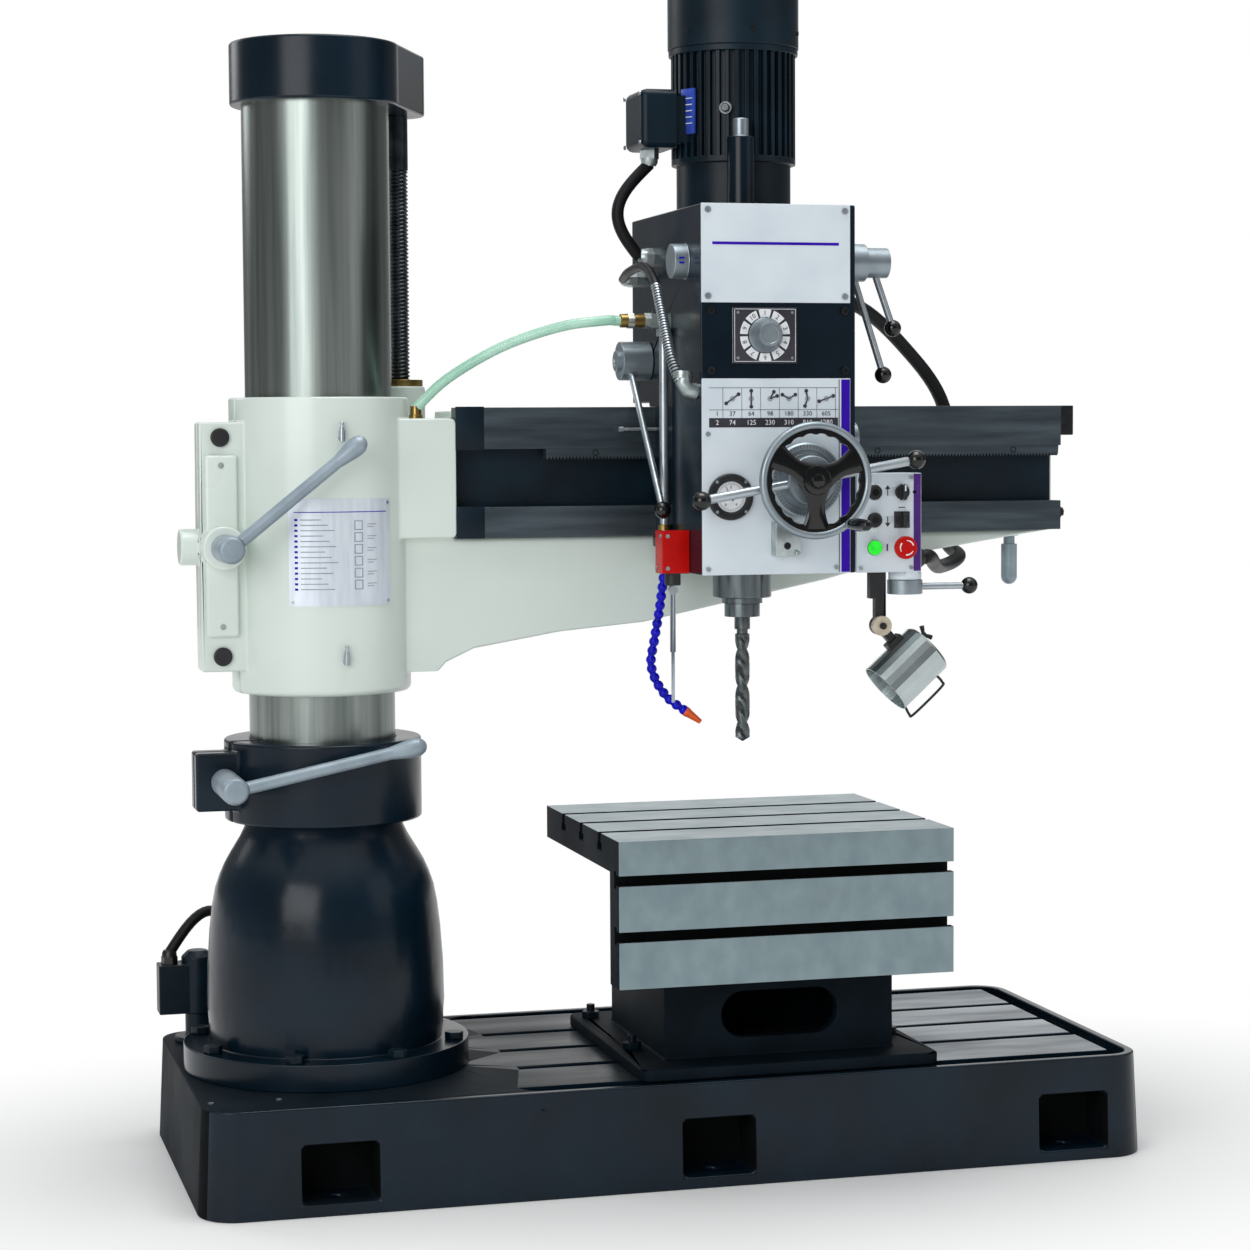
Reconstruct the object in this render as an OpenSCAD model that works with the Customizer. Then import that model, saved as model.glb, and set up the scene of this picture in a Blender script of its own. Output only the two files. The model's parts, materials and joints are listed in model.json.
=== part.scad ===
/* [Base] */
// Length of the base at its top
base_len = 1703; // [1500:1:1900]
// Width of the base at its top
base_wid = 713; // [640:1:820]
// Height of the base
base_h = 186; // [170:1:230]
// Column axis to the left end of the base
base_back = 263; // [260:1:330]
// Widening of each side towards the floor
base_draft = 9; // [2:0.5:20]
// Corner radius of the base
base_corner = 60; // [40:1:90]
// Width of the rim round the bed
rim_wid = 16; // [8:1:26]
// Width of the gutter inside the rim
gutter_wid = 34; // [20:1:44]
// Depth of the gutter
gutter_depth = 30; // [12:1:40]
// Left end of the machined bed from the column axis
bed_left = 285; // [275:1:320]
// Pitch of the bed T-slots
bed_slot_pitch = 150; // [130:1:160]
// Neck width of a bed T-slot
slot_neck = 22; // [18:1:26]
// Neck depth of a T-slot
slot_neck_depth = 20; // [16:1:24]
// Head width of a T-slot
slot_head = 36; // [32:1:42]
// Head height of a T-slot
slot_head_h = 16; // [12:1:20]
// Width of a foundation niche
niche_wid = 133; // [110:1:150]
// Height of a foundation niche
niche_h = 102; // [80:1:106]
// Depth of a foundation niche
niche_depth = 95; // [70:1:110]
// Thickness of the lug under a niche
niche_floor = 21; // [16:1:30]
// Column axis to the first niche
niche_first = -36; // [-60:1:0]
// Distance between the niches
niche_pitch = 668; // [640:1:690]
// Diameter of a foundation hole
anchor_hole = 28; // [20:1:36]
// Wall thickness under the base
base_wall = 32; // [26:1:50]
// Height of the hollow cells under the base
cell_h = 128; // [60:1:130]

/* [Column pedestal] */
// Radius of the flange
flange_r = 256; // [250:0.5:258]
// Thickness of the flange
flange_h = 48; // [36:1:60]
// Largest radius of the bell
bell_r = 213; // [200:0.5:216]
// Neck radius of the bell
neck_r = 138; // [134:0.5:160]
// Height of the bell over the flange
bell_h = 399; // [360:1:420]
// Radius of the flange bolt circle
flange_bolt_r = 234; // [233:0.5:238]
// Width over the flats of the flange bolts
bolt_af = 30; // [24:1:34]
// Height of the flange bolt heads
bolt_head_h = 13; // [10:1:18]
// Diameter of the flange bolts
bolt_dia = 20; // [14:1:22]
// How far the bolts reach into the base
bolt_grip = 40; // [25:1:50]
// Height of the clamp collar
collar_h = 145; // [120:1:160]
// Radius of the clamp collar
collar_r = 176; // [170:0.5:185]
// Reach of a clamp ear from the column axis
collar_ear_reach = 236; // [225:1:255]
// Height of the collar ear
collar_ear_h = 103; // [80:1:110]
// Depth of an ear at front from the column axis
ear_front = 72; // [66:1:80]
// Depth of an ear towards the column axis
ear_rear = 4; // [2:1:12]
// Width of the clamp split
split_wid = 8; // [4:0.5:12]
// Front of the clamp split from the column axis
split_front = 44; // [40:1:48]

/* [Column] */
// Diameter of the column
column_dia = 260; // [250:1:264]
// Wall of the column tube
column_wall = 30; // [22:1:34]
// Top of the column over the floor
column_top = 1896; // [1880:1:1960]
// Radius of the fixed inner post
post_r = 95; // [88:0.5:95.5]
// Wall of the inner post
post_wall = 24; // [16:1:26]
// Height of the lower bearing
bearing_h = 27; // [20:1:34]
// Height of the upper bearing ring
top_ring_h = 60; // [40:1:80]
// Radius of the cap over the column
cap_r = 150; // [146:0.5:160]
// Height of the cap
cap_h = 109; // [100:1:125]
// Thickness of the cap top
cap_roof = 14; // [10:1:20]
// Elevating screw along the arm from the column axis
screw_x = 172; // [165:0.5:180]
// Elevating screw behind the column axis
screw_y = 130; // [126:0.5:140]
// Radius of the cap round the screw
cap_tail_r = 50; // [44:0.5:56]
// Diameter of the elevating screw
screw_dia = 38; // [32:0.5:42]
// Length of the screw below the cap
screw_len = 700; // [650:1:740]
// Diameter of the screw journal in the cap
journal_dia = 28; // [22:0.5:31]
// Length of the screw journal
journal_len = 80; // [60:1:90]
// Radius of the lift motor inside the post
lift_motor_r = 60; // [50:0.5:64]
// Length of the lift motor
lift_motor_len = 210; // [160:1:260]

/* [Arm] */
// Underside of the sleeve over the floor
sleeve_low = 861; // [850:1:880]
// Height of the sleeve
sleeve_h = 522; // [500:1:540]
// Radius of the sleeve
sleeve_r = 159.5; // [155:0.5:166]
// Column axis to the far end of the arm
arm_reach = 1383; // [1360:1:1420]
// Front of the guide ways from the column axis
way_front = 101; // [98:0.5:104]
// Depth of the guide ways
way_depth = 40; // [36:0.5:44]
// Left end of the guide ways from the column axis
way_left = 228; // [222:1:236]
// Top of the upper way over the floor
way_top = 1364; // [1361:0.5:1366]
// Height of the upper way
upper_way_h = 74; // [72:0.5:75]
// Underside of the lower way over the floor
way_low = 1133; // [1131:0.5:1135]
// Height of the lower way
lower_way_h = 54; // [50:0.5:58]
// Rear of the arm behind the column axis
arm_rear = 85; // [75:1:95]
// Setback of the arm below the lower way
belly_setback = 22; // [19:0.5:26]
// Underside of the arm root over the floor
root_low = 895; // [885:1:905]
// Underside of the arm a third of the way out
belly_low = 961; // [950:1:970]
// Top of the arm root over the floor
root_top = 1345; // [1335:1:1356]
// Wall left in the arm at its web
web_wall = 36; // [28:1:44]
// Height of the arm ear over its middle
arm_ear_h = 437; // [400:1:460]
// Reach of the arm ear from the column axis
arm_ear_reach = 222; // [215:1:235]
// Radius of the lever boss on the arm ear
ear_boss_r = 38; // [30:0.5:44]
// Length of the lever boss
ear_boss_len = 50; // [40:1:58]
// Radius of the side boss on the arm ear
side_boss_r = 32; // [26:0.5:33]
// Length of the side boss
side_boss_len = 34; // [20:1:40]
// Diameter of the black plugs on the arm ear
plug_dia = 33; // [26:1:38]
// Thickness of the plugs
plug_h = 8; // [5:0.5:12]
// Edge of the arm ear to a plug
plug_edge = 27; // [22:1:34]
// Height of the nut boss over the sleeve
nut_boss_rise = 22; // [10:1:30]
// Radius of the nut boss
nut_boss_r = 46; // [42:0.5:50]
// Length of the nut boss
nut_boss_len = 200; // [160:1:240]
// Radius of the elevating nut
nut_r = 32; // [28:0.5:36]
// Height of the elevating nut
nut_h = 90; // [70:1:110]
// Radius of the flange of the elevating nut
nut_flange_r = 42; // [38:0.5:45]
// Thickness of the flange of the elevating nut
nut_flange_h = 12; // [8:0.5:16]
// Left end of the rack from the column axis
rack_left = 387; // [380:1:395]
// Depth of the rack
rack_depth = 25; // [20:0.5:28]
// Size of the end stop along the arm
stop_len = 25; // [16:1:32]
// Height of the end stop
stop_h = 55; // [40:1:64]
// Length of the pull handle
handle_len = 92; // [80:1:120]
// Radius of the pull handle
handle_r = 15; // [12:0.5:18]
// Pull handle to the far end of the arm
handle_inset = 62; // [50:1:75]

/* [Clamp levers] */
// Pivot of the clamp levers from the column axis
clamp_pivot = 186; // [180:1:192]
// Radius of the clamp lever hubs
clamp_hub_r = 24; // [20:0.5:28]
// Radius of the clamp lever pins
clamp_pin_r = 12; // [10:0.25:15]
// Radius of the clamp lever rods
clamp_rod_r = 11; // [9:0.25:13]
// Radius of the clamp lever grips
clamp_grip_r = 17; // [14:0.25:20]
// Length of the clamp lever grips
clamp_grip_len = 66; // [50:1:80]
// Gap from the sleeve to the clamp lever rods
clamp_reach = 30; // [24:1:40]
// Length of the arm clamp lever
arm_lever_len = 300; // [280:1:320]
// Slope of the arm clamp lever in degrees
arm_lever_slope = 38.8; // [34:0.1:44]
// Length of the column clamp lever
column_lever_len = 342; // [320:1:360]
// Slope of the column clamp lever in degrees
column_lever_slope = 11.6; // [8:0.1:14]
// Height of the column lever pivot over the bell
column_pivot_rise = 76; // [70:1:82]

/* [Drill head] */
// Column axis to the left side of the head
head_left = 594; // [588:1:600]
// Width of the head
head_wid = 278; // [272:1:290]
// Front of the head from the column axis
head_front = 400; // [395:1:410]
// Thickness of the front panels
panel_t = 6; // [4:0.25:8]
// Underside of the head over the floor
head_low = 1073; // [1066:1:1080]
// Top of the lower front panel over the floor
head_mid = 1409; // [1404:1:1414]
// Height of the dial section of the head
dial_band_h = 129; // [124:1:136]
// Height of the upper front panel
upper_panel_h = 168; // [160:1:176]
// Rear of the gearbox behind the column axis
gear_rear = 50; // [44:1:60]
// Wall of the head casting
head_wall = 20; // [16:0.5:22]
// Gap between the gearbox and the top of the arm
over_arm = 8; // [5:0.5:12]
// Spindle along the arm from the column axis
spindle_x = 717; // [714:0.5:720]
// Spindle in front of the column axis
spindle_y = 230; // [227:0.5:233]
// Radius of the bush under the head
bush_r = 52; // [46:0.5:56]
// Length of the bush under the head
bush_len = 48; // [40:1:52]
// Radius of the tube over the spindle
tube_r = 24; // [23:0.25:27]
// Height of the tube over the spindle
tube_h = 130; // [120:1:150]
// Radius of the plug on the tube
tube_plug_r = 14; // [11:0.25:17]
// Height of the plug on the tube
tube_plug_h = 32; // [24:1:40]
// Radius of the depth gauge
gauge_r = 40; // [34:0.5:44]
// Left side of the head to the depth gauge
gauge_inset = 49; // [46:0.5:54]
// Depth gauge below the feed axis
gauge_drop = 28; // [20:0.5:36]
// Radius of the boss on the left side
left_boss_r = 30; // [24:0.5:34]
// Length of the boss on the left side
left_boss_len = 27; // [18:0.5:32]

/* [Feed and traverse] */
// Feed axis above the underside of the head
feed_rise = 162; // [161:0.25:163]
// Module of the rack teeth
tooth_mod = 2; // [1.98:0.005:2.02]
// Radius of the traverse shaft
traverse_shaft_r = 9; // [7:0.25:10]
// Radius of the feed sleeve
feed_sleeve_r = 21; // [20.5:0.25:23]
// Radius of the graduated feed drum
drum_r = 64; // [58:0.5:70]
// Thickness of the graduated feed drum
drum_h = 32; // [24:0.5:36]
// Gap behind the feed drum
drum_gap = 9; // [8:0.25:12]
// Radius of the capstan hub
capstan_hub_r = 42; // [36:0.5:48]
// Length of the capstan hub
capstan_hub_len = 28; // [26:0.5:32]
// Half length of the capstan bar
capstan_reach = 212; // [200:1:225]
// Radius of the capstan bar
capstan_bar_r = 8; // [6:0.25:9]
// Radius of the capstan balls
capstan_ball_r = 16.5; // [14:0.25:18]
// Slope of the capstan bar in degrees
capstan_slope = 9.8; // [5:0.1:15]
// Radius of the handwheel
wheel_r = 100; // [90:0.5:108]
// Radius of the handwheel rim section
wheel_rim_r = 7.5; // [6:0.25:8.5]
// Radius of the handwheel hub
wheel_hub_r = 22; // [18:0.5:26]
// Length of the handwheel hub
wheel_hub_len = 28; // [26:0.5:34]
// Gap between capstan and handwheel
wheel_gap = 2; // [1:0.25:4]
// Thickness of the handwheel spokes
spoke_t = 10; // [7:0.25:13]
// Width of the handwheel spokes
spoke_wid = 17; // [12:0.5:22]
// Radius of the handwheel grip
grip_r = 11; // [9:0.25:13]
// Length of the handwheel grip
grip_len = 95; // [80:1:105]

/* [Spindle] */
// Radius of the quill
quill_r = 36; // [35.5:0.05:36.3]
// Length of the quill
quill_len = 425; // [415:1:440]
// Quill below the bush at rest
quill_out = 10; // [6:0.5:14]
// Radius of the spindle
spindle_r = 18; // [16:0.1:18.5]
// Length of the spindle over the quill
spindle_top_len = 330; // [310:1:345]
// Radius of the spindle nose
nose_r = 31.5; // [28:0.25:34]
// Height of the spindle nose
nose_h = 24; // [20:0.5:28]
// Radius of the drill
drill_r = 13; // [10:0.25:15]
// Length of the drill below the nose
drill_len = 223; // [200:1:226]
// Length of the drill point
point_len = 8; // [6:0.25:10]

/* [Drive] */
// Module of the drive gears
gear_mod = 3; // [2.98:0.005:3.02]
// Width of the drive gears
gear_wid = 30; // [24:0.5:36]
// Gears above the gearbox floor
gear_rise = 70; // [60:1:90]
// Radius of the drive sleeve
sleeve_hub_r = 28; // [26:0.25:29]
// Sideways offset of the motor from the spindle
motor_off = 30; // [26:0.5:34]
// Radius of the motor adaptor
adaptor_r = 103; // [96:0.5:106]
// Height of the motor adaptor
adaptor_h = 91; // [84:1:96]
// Radius over the motor fins
motor_r = 112; // [108:0.5:116]
// Height of the motor fins
fin_h = 11; // [8:0.25:13]
// Length of the finned motor frame
motor_len = 206; // [196:1:215]
// Radius of the fan cowl
cowl_r = 118; // [117:0.5:122]
// Height of the fan cowl
cowl_h = 112; // [100:1:120]
// Wall of the fan cowl
cowl_wall = 3; // [2:0.25:4]
// Radius of the motor shaft
rotor_shaft_r = 14; // [12:0.25:16]
// Radius of the motor rotor
rotor_r = 58; // [50:0.5:60]
// Radius of the motor fan
fan_r = 88; // [80:0.5:95]
// Reach of the motor terminal box from the frame
terminal_reach = 76; // [66:1:84]
// Width of the motor terminal box
terminal_wid = 120; // [100:1:130]
// Height of the motor terminal box
terminal_h = 104; // [94:1:114]

/* [Controls] */
// Width of the control box
box_wid = 119; // [114:1:126]
// Height of the control box
box_h = 172; // [165:1:180]
// Depth of the control box
box_depth = 80; // [70:1:90]
// Radius of the push buttons
button_r = 14.5; // [12:0.25:16]
// Height of the push buttons
button_h = 12; // [9:0.25:14]
// Radius of the button stems
stem_r = 8; // [6:0.25:9]
// Length of the button stems
stem_len = 20; // [16:0.5:24]
// Radius of the stop button
stop_button_r = 20; // [17:0.25:21]
// Spacing of the button rows
button_pitch = 48; // [45:0.5:52]
// Left side of the box to the button columns
button_left = 31; // [28:0.5:34]
// Spacing of the button columns
button_cols = 52; // [48:0.5:56]
// Height of the lowest buttons over the box bottom
button_low = 43; // [40:0.5:46]
// Radius of the dial knob
dial_r = 30; // [26:0.5:34]
// Height of the dial knob
dial_h = 30; // [24:0.5:36]
// Radius of the speed lever hubs
speed_hub_r = 33; // [28:0.5:36]
// Length of the inner speed lever hub
speed_hub_len = 38; // [32:0.5:42]
// Length of the outer speed lever hub
outer_hub_len = 42; // [36:0.5:46]
// Speed lever axis in front of the column axis
speed_y = 300; // [292:1:308]
// Speed lever axis above the dial section
speed_rise = 75; // [70:1:80]
// Radius of the lever rods
rod_r = 6; // [5:0.1:7]
// Radius of the lever balls
ball_r = 15; // [13:0.25:16.5]
// Drop of the inner speed lever ball
inner_drop = 196; // [180:1:205]
// Drop of the outer speed lever ball
outer_drop = 114; // [105:1:125]
// Lean of the speed levers outwards
lever_lean = 56; // [44:1:64]
// Radius of the spindle start lever ring
start_ring_r = 31; // [28:0.5:34]
// Height of the spindle start lever ring
start_ring_h = 25; // [20:0.5:30]
// Reach of the spindle start lever
start_reach = 121; // [110:1:130]
// Radius of the head clamp hub
clamp_knob_r = 35; // [30:0.5:40]
// Length of the head clamp hub
clamp_knob_len = 56; // [50:1:60]
// Head clamp axis in front of the column axis
head_clamp_y = 62; // [56:1:68]
// Head clamp axis above the lower panel
head_clamp_rise = 38; // [30:1:46]
// Length of the head clamp lever
head_clamp_len = 345; // [330:1:355]
// Lean of the head clamp lever in degrees
head_clamp_lean = 40; // [36:0.5:42]

/* [Lamp and safety rod] */
// Radius of the lamp
lamp_r = 49; // [44:0.5:52]
// Length of the lamp
lamp_len = 107; // [96:1:116]
// Wall of the lamp
lamp_wall = 4; // [3:0.25:6]
// Downward slope of the lamp in degrees
lamp_slope = 42; // [36:0.5:48]
// Lamp pivot under the control box
lamp_drop = 95; // [90:0.5:104]
// Lamp pivot from the left side of the control box
lamp_inset = 56; // [52:0.5:60]
// Radius of the lamp pivot disc
lamp_disc_r = 17; // [14:0.25:19]
// Width of the lamp stem
lamp_stem = 20; // [16:0.5:24]
// Size of the safety switch box along the arm
switch_wid = 50; // [44:0.5:56]
// Height of the safety switch box
switch_h = 75; // [68:0.5:80]
// Depth of the safety switch box
switch_depth = 46; // [40:0.5:52]
// Set back of the safety switch from the front plates
switch_set = 78; // [60:1:90]
// Radius of the safety rod
trip_r = 5; // [4:0.1:6]
// Length of the safety rod
trip_len = 196; // [180:1:205]
// Radius of the gland above the safety rod
gland_r = 14; // [12:0.25:16]
// Height of the gland above the safety rod
gland_h = 21; // [18:0.25:24]

/* [Coolant and cables] */
// Radius of the coolant pipe
pipe_r = 8; // [6:0.25:9]
// Gap from the head to the pipe axis
pipe_off = 12; // [11:0.25:14]
// Coolant pipe in front of the column axis
pipe_y = 202; // [196:0.5:210]
// Radius of the brass nipple
brass_r = 12; // [10:0.25:13]
// Length of the brass nipple
brass_len = 55; // [48:0.5:60]
// Radius of the segmented hose
seg_r = 8.5; // [7:0.1:9.5]
// Length of the segmented hose straight down
seg_drop = 167; // [158:1:176]
// Sideways bow of the segmented hose
seg_bow = 26; // [20:0.5:32]
// Sideways end of the segmented hose
seg_side = 60; // [52:0.5:66]
// Second drop of the segmented hose
seg_turn = 85; // [78:0.5:92]
// Length of the nozzle
nozzle_len = 38; // [32:0.5:44]
// Radius of the green hose
hose_r = 9; // [7:0.25:10]
// Radius of the motor cable
motor_cable_r = 11; // [9:0.25:12.5]
// Bow of the motor cable
motor_cable_bow = 66; // [56:1:74]
// Radius of the sensor conduit
conduit_r = 9.5; // [8:0.25:11]
// Bow of the sensor conduit
conduit_bow = 30; // [24:0.5:36]
// Radius of the head cable
head_cable_r = 13; // [11:0.25:14]
// Reach of the head cable along the arm
head_cable_reach = 385; // [370:1:400]
// Rear clearance of the head cable behind the arm
head_cable_rear = 60; // [52:1:70]
// Dip of the head cable below the control box top
head_cable_dip = 165; // [158:1:172]
// Gap between the head cable and the belly of the arm
head_cable_gap = 15; // [12:0.5:22]

/* [Table] */
// Column axis to the left side of the table
table_left = 452; // [440:1:460]
// Length of the table
table_len = 616; // [600:1:630]
// Front of the table from the column axis
table_front = 362; // [356:1:370]
// Depth of the table
table_depth = 528; // [510:1:545]
// Height of the table face
table_h = 258; // [250:1:264]
// Top of the table over the floor
table_top = 615; // [606:1:622]
// Thickness of the table plate
table_plate = 60; // [54:1:68]
// Thickness of the table face plate
table_face = 62; // [56:1:68]
// Neck width of a table T-slot
table_neck = 18; // [14:0.5:20]
// Neck depth of a table T-slot
table_neck_depth = 18; // [14:0.5:20]
// Head width of a table T-slot
table_head = 30; // [26:0.5:34]
// Head height of a table T-slot
table_head_h = 13; // [10:0.5:15]
// Top edge of the face to the first face slot
face_slot_first = 69; // [66:0.5:78]
// Distance between the face slots
face_slot_pitch = 98; // [92:0.5:104]
// Left side of the stand from the left side of the table
stand_inset = 110; // [100:1:120]
// Length of the stand
stand_len = 428; // [410:1:440]
// Front of the stand behind the table front
stand_back = 102; // [90:1:112]
// Depth of the stand
stand_depth = 373; // [350:1:385]
// Wall of the stand
stand_wall = 26; // [20:0.5:32]
// Thickness of the foot plate
foot_h = 22; // [18:0.5:28]
// Overhang of the foot plate on the left and right
foot_side = 62; // [54:1:72]
// Overhang of the foot plate at the front
foot_front = 78; // [72:1:88]
// Overhang of the foot plate at the rear
foot_rear = 92; // [84:1:100]
// Height of the stand opening
port_h = 82; // [70:1:92]
// Length of the stand opening
port_len = 216; // [190:1:235]
// Foot plate to the stand opening
port_low = 33; // [28:0.5:40]

/* [Coolant pump] */
// Radius of the pump motor
pump_r = 30; // [26:0.5:32]
// Height of the pump motor
pump_h = 104; // [90:1:115]
// Radius of the pump flange
pump_flange_r = 44; // [40:0.5:48]
// Pump behind the column axis
pump_y = 262; // [258:0.5:268]
// Pump from the column axis towards the left end
pump_x = 200; // [196:0.5:206]
// Height of the pump pedestal
pump_foot_h = 55; // [48:1:62]
// Width of the pump terminal box
pump_box_wid = 44; // [38:0.5:48]
// Height of the pump terminal box
pump_box_h = 92; // [80:1:100]
// Radius of the pump cable
pump_cable_r = 10; // [8:0.25:11]
// Rise of the pump cable
pump_cable_rise = 140; // [125:1:155]

/* [Fits] */
// Running clearance of a shaft in its hole
run_gap = 0.05; // [0.03:0.005:0.09]
// Gap between sliding faces
slide_gap = 0.5; // [0.4:0.05:0.8]
// Free gap round pieces that turn clear of others
free_gap = 2; // [1.5:0.1:3]
// Play between teeth
tooth_play = 0.3; // [0.2:0.02:0.5]
// Overlap used where shapes are joined or cut
join = 1; // [0.8:0.05:1.5]

/* [Hidden] */
$fn = 64;
hull_fn = 32;
half_turn = 180;
half_share = 0.5;
column_r = column_dia / 2;
base_left = -base_back;
base_right = base_len - base_back;
base_half = base_wid / 2;
bed_half = base_half - rim_wid - gutter_wid;
bed_right = base_right - rim_wid - gutter_wid;
slot_depth = slot_neck_depth + slot_head_h;
bell_low = base_h + flange_h;
bell_top = bell_low + bell_h;
collar_top = bell_top + collar_h;
column_low = bell_top + bearing_h + slide_gap;
bore_r = column_r - column_wall;
cap_top = column_top + cap_h;
sleeve_top = sleeve_low + sleeve_h;
ear_mid = sleeve_low + sleeve_h * half_share;
arm_ear_low = ear_mid - arm_ear_h * half_share;
clamp_y = -(collar_r + clamp_reach);
upper_way_low = way_top - upper_way_h;
lower_way_top = way_low + lower_way_h;
web_y = -way_front + way_depth;
belly_y = -way_front + belly_setback;
boss_top = sleeve_top + nut_boss_rise;
head_right = head_left + head_wid;
panel_y = -head_front;
face_y = panel_y + panel_t;
saddle_y = -way_front - slide_gap;
dial_top = head_mid + dial_band_h;
head_top = dial_top + upper_panel_h;
gear_low = way_top + over_arm;
cavity_low = head_mid + head_wall;
cavity_top = head_top - head_wall;
sx = spindle_x;
sy = -spindle_y;
feed_teeth = 18;
traverse_teeth = 38;
feed_pitch_r = tooth_mod * feed_teeth / 2;
traverse_pitch_r = tooth_mod * traverse_teeth / 2;
rack_step = tooth_mod * PI;
quill_pitch_x = sx + quill_r - tooth_mod - slide_gap;
feed_x = quill_pitch_x + feed_pitch_r;
feed_z = head_low + feed_rise;
rack_pitch_z = feed_z + traverse_pitch_r;
drum_back = panel_y - drum_gap;
drum_front = drum_back - drum_h;
capstan_front = drum_front - capstan_hub_len;
bar_y = drum_front - capstan_hub_len * half_share;
wheel_back = capstan_front - wheel_gap;
wheel_front = wheel_back - wheel_hub_len;
wheel_y = wheel_back - wheel_hub_len * half_share;
pinion_wid = tooth_mod * 11;
quill_low = head_low - bush_len - quill_out;
quill_top = quill_low + quill_len;
nose_low = quill_low - nose_h;
spindle_top = quill_top + spindle_top_len;
drive_teeth = 60;
rotor_teeth = 36;
drive_pitch_r = gear_mod * drive_teeth / 2;
rotor_pitch_r = gear_mod * rotor_teeth / 2;
gear_centres = drive_pitch_r + rotor_pitch_r;
mx = sx + motor_off;
my = sy + sqrt(gear_centres * gear_centres - motor_off * motor_off);
gear_turn = atan2(my - sy, mx - sx);
gear_z = cavity_low + gear_rise;
adaptor_top = head_top + adaptor_h;
motor_top = adaptor_top + motor_len;
cowl_top = motor_top + cowl_h;
terminal_low = adaptor_top + motor_len / 8;
box_left = head_right;
box_right = box_left + box_wid;
box_low = head_low;
box_top = box_low + box_h;
box_rear = panel_y + box_depth;
col_a = box_left + button_left;
col_b = col_a + button_cols;
row_a = box_low + button_low;
row_b = row_a + button_pitch;
row_c = row_b + button_pitch;
speed_z = dial_top + speed_rise;
speed_base = head_right + head_wall * half_share;
inner_end = speed_base + slide_gap + speed_hub_len;
outer_end = inner_end + slide_gap + outer_hub_len;
start_x = box_right - start_ring_r * half_share;
start_y = panel_y + box_depth * half_share;
start_top = box_low - ball_r;
start_low = start_top - slide_gap - start_ring_h;
clamp_hx = head_left - clamp_knob_len * 0.68;
clamp_hz = head_mid + head_clamp_rise;
lamp_x = box_left + lamp_inset;
lamp_z = box_low - lamp_drop;
lamp_y = panel_y + box_depth * half_share;
switch_x = head_left - switch_wid * half_share;
switch_y = panel_y + switch_set;
trip_y = switch_y + switch_depth * half_share;
pipe_x = head_left - pipe_off;
valve_z = dial_top - brass_r * 2;
table_right = table_left + table_len;
table_rear = table_depth - table_front;
stand_left = table_left + stand_inset;
stand_front = -table_front + stand_back;
stand_rear = stand_front + stand_depth;
stand_top = table_top - table_plate;
foot_top = base_h + foot_h;
table_pitch = table_depth / 4;
pump_z = base_h + pump_foot_h;

module bar(x0, x1, y0, y1, z0, z1) translate([x0, y0, z0]) cube([x1 - x0, y1 - y0, z1 - z0]);
module post(x, y, z0, z1, r) translate([x, y, z0]) cylinder(r = r, h = z1 - z0);
module pin_y(x, z, y0, y1, r) translate([x, y1, z]) rotate([90, 0, 0]) cylinder(r = r, h = y1 - y0);
module axle(y, z, x0, x1, r) translate([x0, y, z]) rotate([0, 90, 0]) cylinder(r = r, h = x1 - x0);
module ball(p, r) translate(p) sphere(r = r, $fn = 32);
module strut(p, q, r, r2 = undef)
{
  d = q - p;
  len = norm(d);
  translate(p) rotate([0, acos(d[2] / len), atan2(d[1], d[0])])
    cylinder(r1 = r, r2 = is_undef(r2) ? r : r2, h = len, $fn = 32);
}
function unit(v) = v / norm(v);
function heading(p, i) = unit(p[min(i + 1, len(p) - 1)] - p[max(i - 1, 0)]);
function across(t) = unit(cross(t, abs(t[1]) < 0.7 ? [0, 1, 0] : [1, 0, 0]));
function carried(p) = [for (i = 0, n = across(heading(p, 0)); i < len(p); i = i + 1,
  n = i < len(p) ? unit(n - (n * heading(p, i)) * heading(p, i)) : n) n];
function blend4(a, b, c, d, t) = (2 * b + (c - a) * t + (2 * a - 5 * b + 4 * c - d) * t * t
  + (3 * b - a - 3 * c + d) * t * t * t) / 2;
function smooth(p, n) = concat([for (i = [0:len(p) - 2]) for (k = [0:n - 1]) blend4(p[max(i - 1, 0)], p[i],
  p[i + 1], p[min(i + 2, len(p) - 1)], k / n)], [p[len(p) - 1]]);
tube_sides = 12;
module route(pts, r)
{
  up = carried(pts);
  rings = len(pts);
  spots = [for (i = [0:rings - 1]) for (k = [0:tube_sides - 1])
    pts[i] + r * (up[i] * cos(360 * k / tube_sides) + cross(heading(pts, i), up[i]) * sin(360 * k / tube_sides))];
  walls = [for (i = [0:rings - 2]) for (k = [0:tube_sides - 1]) let(m = (k + 1) % tube_sides, o = i * tube_sides)
    each [[o + k, o + tube_sides + k, o + m], [o + m, o + tube_sides + k, o + tube_sides + m]]];
  polyhedron(spots, concat(walls, [[for (k = [0:tube_sides - 1]) k]],
    [[for (k = [tube_sides - 1:-1:0]) (rings - 1) * tube_sides + k]]));
}
function bow(a, b, v, n) = [for (i = [0:n]) a + (b - a) * i / n + v * sin(half_turn * i / n)];
module round_plate(x0, x1, y0, y1, r)
{
  translate([x0 + r, y0]) square([x1 - x0 - 2 * r, y1 - y0]);
  translate([x0, y0 + r]) square([x1 - x0, y1 - y0 - 2 * r]);
  for (x = [x0 + r, x1 - r]) for (y = [y0 + r, y1 - r]) translate([x, y]) circle(r = r);
}
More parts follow.
